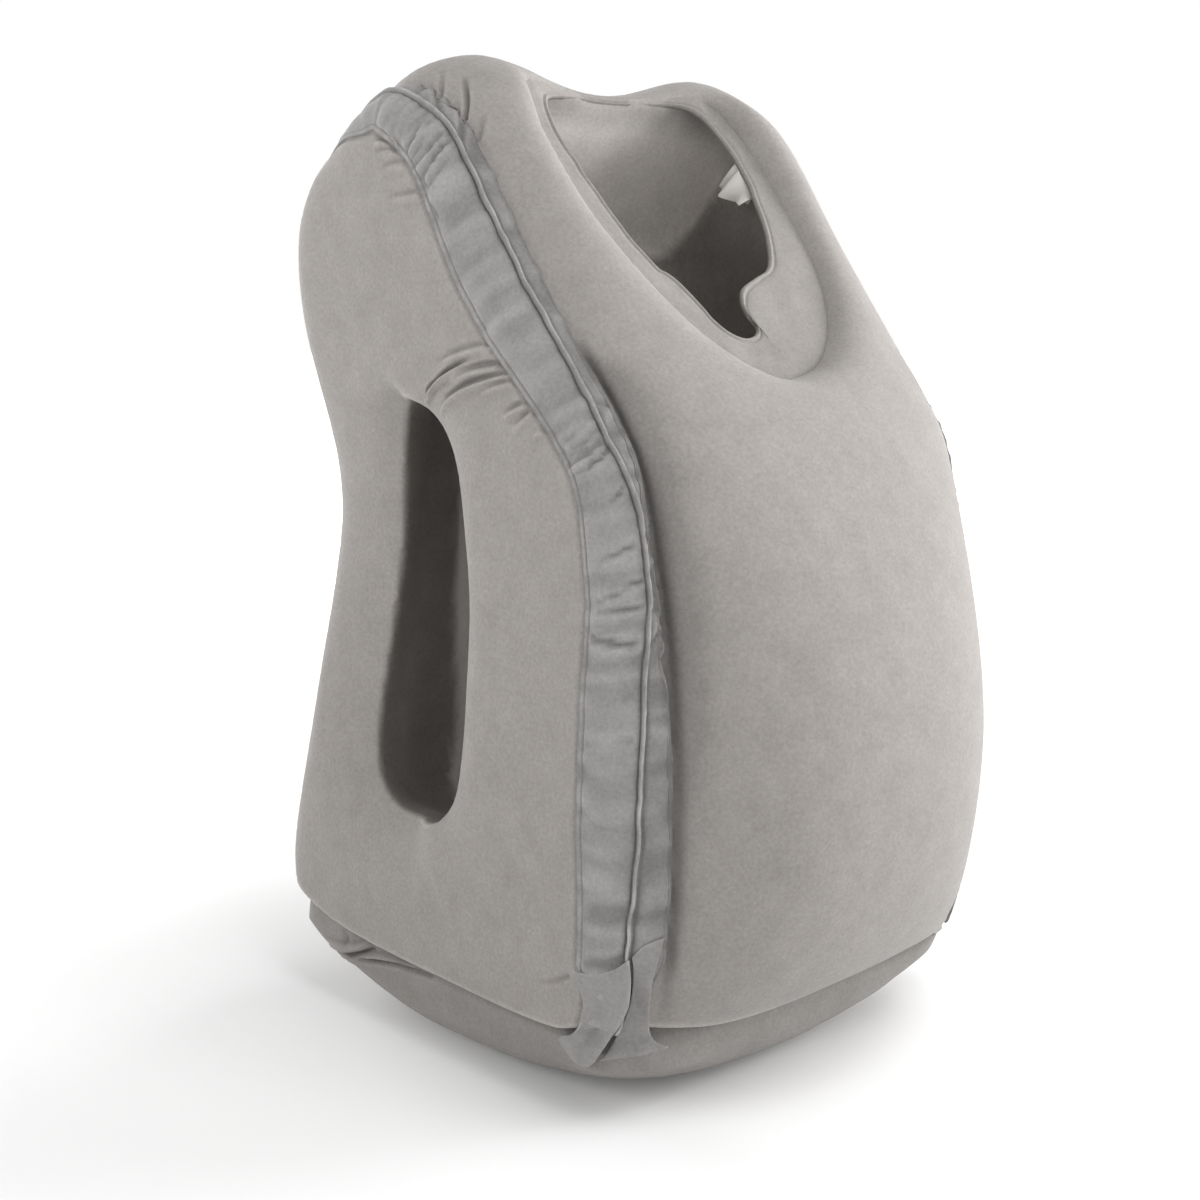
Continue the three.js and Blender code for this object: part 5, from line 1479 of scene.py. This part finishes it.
def make_base():
    """Bulging base cushion, flat where it stands, with folds at its left end."""
    flat, out = base_points()
    faces = grid_faces(len(BASE_HEIGHTS), BASE_AROUND, closed_columns=True)
    lines = traced(2, BVHTree.FromPolygons(flat.tolist(), faces))
    dent = sunk_by(flat, lines) + BASE_BILLOW * soft_noise(flat, BASE_BILLOW_SPAN, BASE_BILLOW_SEED)
    dent *= ease(*BASE_FREE, flat[:, 2])
    points = flat - out * dent[:, None]
    last = (len(BASE_HEIGHTS) - 1) * BASE_AROUND
    faces += [tuple(range(BASE_AROUND - 1, -1, -1)), tuple(range(last, last + BASE_AROUND))]
    base = make_piece("base_cushion", points, faces, base_flock_painted_shade, "base")
    # Painted shade on the base under the seam and in its folds
    under = seam_height(flat[:, 0], flat[:, 1]) - flat[:, 2]
    shade = 1 - BASE_TOP_SHADE * ease(*BASE_TOP_SHADED, under)
    paint(base, shade * (1 - CREASE_SHADE * np.clip(dent, *SHADED_DEPTH)))
    return BVHTree.FromPolygons(points.tolist(), faces)


def on_slope(x, v, out):
    """Points from places on the face opening's slope."""
    y = SLOPE_FOOT[0] + v * SLOPE_ALONG[0] + out * SLOPE_OUT[0]
    z = SLOPE_FOOT[1] + v * SLOPE_ALONG[1] + out * SLOPE_OUT[1]
    return np.stack((x, y, z), -1)


def loop_at(loop, share):
    """Points at shares of the way round a closed loop."""
    closed = np.vstack((loop, loop[:1]))
    along = np.r_[0, np.cumsum(np.linalg.norm(np.diff(closed, axis=0), axis=1))]
    return np.column_stack([np.interp((share % 1) * along[-1], along, closed[:, k]) for k in (0, 1)])


def band_outline():
    """Free inner edge of the band and the place on its outer edge that goes with each point."""
    inner = smooth_loop(BAND_EDGE, 15)
    inner = np.column_stack((inner["x"], inner["v"]))
    outer = np.column_stack((face_loop["x"], face_loop["v"]))
    share = np.arange(BAND_AROUND) / BAND_AROUND
    inside, even = loop_at(inner, share), loop_at(outer, share)
    nearest = np.argmin(((even[None] - inside[:, None]) ** 2).sum(-1), 1)
    place = np.maximum.accumulate(np.unwrap(nearest / BAND_AROUND, period=1))
    kernel = np.hanning(BAND_EVENED) / np.hanning(BAND_EVENED).sum()
    place = np.convolve(np.r_[place - 1, place, place + 1], kernel, "same")
    outside = loop_at(outer, place[BAND_AROUND:2 * BAND_AROUND])
    away = outside - (0, FACE_MIDDLE)
    back = ease(*BAND_BACK, outside[:, 1]) * ease(*BAND_BACK_MIDDLE, np.abs(outside[:, 0]))
    overlap = BAND_OVERLAP * (1 - BAND_BACK_LESS * back)
    return inside, outside + away / np.linalg.norm(away, axis=1)[:, None] * overlap[:, None]


def make_band():
    """Flat welded band inside the face opening with its uneven cut edge."""
    inside, outside = band_outline()
    wide = np.linalg.norm(outside - inside, axis=1)
    weld = BAND_WELD["place"][:, None] * np.minimum(1, wide / BAND_WELD_WIDE)
    rest = weld[-1] + (wide - weld[-1]) * np.linspace(0, 1, BAND_ACROSS)[1:, None]
    across = np.vstack((weld, rest)) / wide
    drop = BAND_DROP * (1 - across) ** 2
    height = np.r_[BAND_WELD["height"], np.zeros(len(rest))][:, None] - drop
    flat = inside * (1 - across[..., None]) + outside * across[..., None]
    level = np.dstack((flat, flat[..., :1] * 0)).reshape(-1, 3)
    billow = soft_noise(level, BAND_BILLOW_SPAN, BAND_BILLOW_SEED)
    height += BAND_BILLOW * billow.reshape(height.shape) * ease(0, 0.3, across) * ease(1, 0.6, across)
    sag = BAND_SAG * np.maximum(1 - (flat[..., 0] / BAND_SAG_SPAN) ** 2, 0)
    sag *= ease(BAND_SAG_FROM, BAND_SAG_TO, flat[..., 1])
    top = on_slope(flat[..., 0], flat[..., 1], height + BAND_THICKNESS / 2 - sag)
    under = on_slope(flat[..., 0], flat[..., 1], -drop - BAND_THICKNESS / 2 - sag)
    rings = np.concatenate((top, under[::-1]))
    faces = grid_faces(len(rings), BAND_AROUND, closed_columns=True)
    last = (len(rings) - 1) * BAND_AROUND
    around = [(i, (i + 1) % BAND_AROUND) for i in range(BAND_AROUND)]
    faces += [(last + i, last + j, j, i) for i, j in around]
    band = make_piece("opening_band", rings.reshape(-1, 3), faces, band_flock, "face_band")


def make_label():
    """Blank label of two layers of woven tape under the band's free edge."""
    points, faces = np.zeros((0, 3)), []
    for layer in (LABEL_FRONT, LABEL_REAR):
        rows = []
        for v, x, down, back_x, back_v in zip(*layer.values()):
            t = np.linspace(0, 1, LABEL_ROWS)
            bow = LABEL_BOW * np.sin(np.pi * t)
            top = -BAND_THICKNESS / 2 - BAND_DROP - LABEL_BELOW
            rows.append(on_slope(x + (back_x - x) * t - bow, v + (back_v - v) * t, top - down * t))
        sheet, quads = thin_sheet(finer(np.array(rows), 4), LABEL_THICKNESS)
        faces += [tuple(i + len(points) for i in quad) for quad in quads]
        points = np.vstack((points, sheet))
    label = make_piece("blank_label", points, faces, tape_material("label_cloth"), "label")


def graded(nodes, links, value, limits):
    """Value carried smoothly from one range to another."""
    grade = nodes.new("ShaderNodeMapRange")
    grade.interpolation_type = "SMOOTHSTEP"
    for name, limit in zip(("From Min", "From Max", "To Min", "To Max"), limits):
        grade.inputs[name].default_value = limit
    links.new(value, grade.inputs["Value"])
    return grade.outputs["Result"]


def make_floor():
    """Pale floor that glows white away from the pillow."""
    bpy.ops.mesh.primitive_circle_add(
        vertices=96, radius=FLOOR_RADIUS, fill_type="NGON", location=(0, 0, -FLOOR_BELOW)
    )
    floor = bpy.context.object
    floor.name = "floor"
    paint = Finish("floor_paint", FLOOR_FINISH)
    far = paint.nodes.new("ShaderNodeVectorMath")
    far.operation = "LENGTH"
    paint.links.new(paint.place, far.inputs[0])
    glow = graded(paint.nodes, paint.links, far.outputs["Value"], FLOOR_GLOW)
    paint.links.new(glow, paint.shader.inputs["Emission Strength"])
    floor.data.materials.append(paint.material)


def make_sky():
    """White surroundings, brighter on the far side of the pillow."""
    world = bpy.data.worlds.new("studio")
    bpy.context.scene.world = world
    world.use_nodes = True
    nodes, links = world.node_tree.nodes, world.node_tree.links
    way = nodes.new("ShaderNodeTexCoord")
    facing = nodes.new("ShaderNodeVectorMath")
    facing.operation = "DOT_PRODUCT"
    facing.inputs[1].default_value = (math.sin(-CAMERA_AZIMUTH), math.cos(CAMERA_AZIMUTH), 0)
    links.new(way.outputs["Generated"], facing.inputs[0])
    bright = graded(nodes, links, facing.outputs["Value"], SKY_BRIGHT)
    nodes["Background"].inputs["Color"].default_value = (1, 1, 1, 1)
    links.new(bright, nodes["Background"].inputs["Strength"])
    bpy.context.scene.view_settings.view_transform = "Standard"


def make_lights():
    """Large soft lights round the pillow, aimed at its middle."""
    for name, place, size, power in SOFTBOXES:
        data = bpy.data.lights.new(name, "AREA")
        data.size = size
        data.energy = power
        light = bpy.data.objects.new(name, data)
        light.location = place
        aim = Vector((0, 0, LIGHTS_AIM)) - light.location
        light.rotation_euler = aim.to_track_quat("-Z", "Y").to_euler()
        bpy.context.collection.objects.link(light)


shell_flock = flock_material("shell_flock", 1, reads_painted_shading=True)
# The base's flock, painted darker as shade
base_flock_painted_shade = flock_material("base_flock_painted_shade", BASE_PAINTED_SHADE, reads_painted_shading=True)
strip_flock = flock_material("strip_flock", STRIP_TINT, reads_painted_shading=True)
band_flock = flock_material("band_flock", BAND_TINT)
make_camera()
body_tree = make_body()
base_tree = make_base()
left_flaps, right_flaps = (corner_flaps((body_tree, base_tree), share) for share in FLAP_SHARES)
strip_lines = make_strip(-1, None, left_flaps)
make_strip(1, strip_lines, right_flaps)
make_band()
make_label()
make_floor()
make_sky()
make_lights()
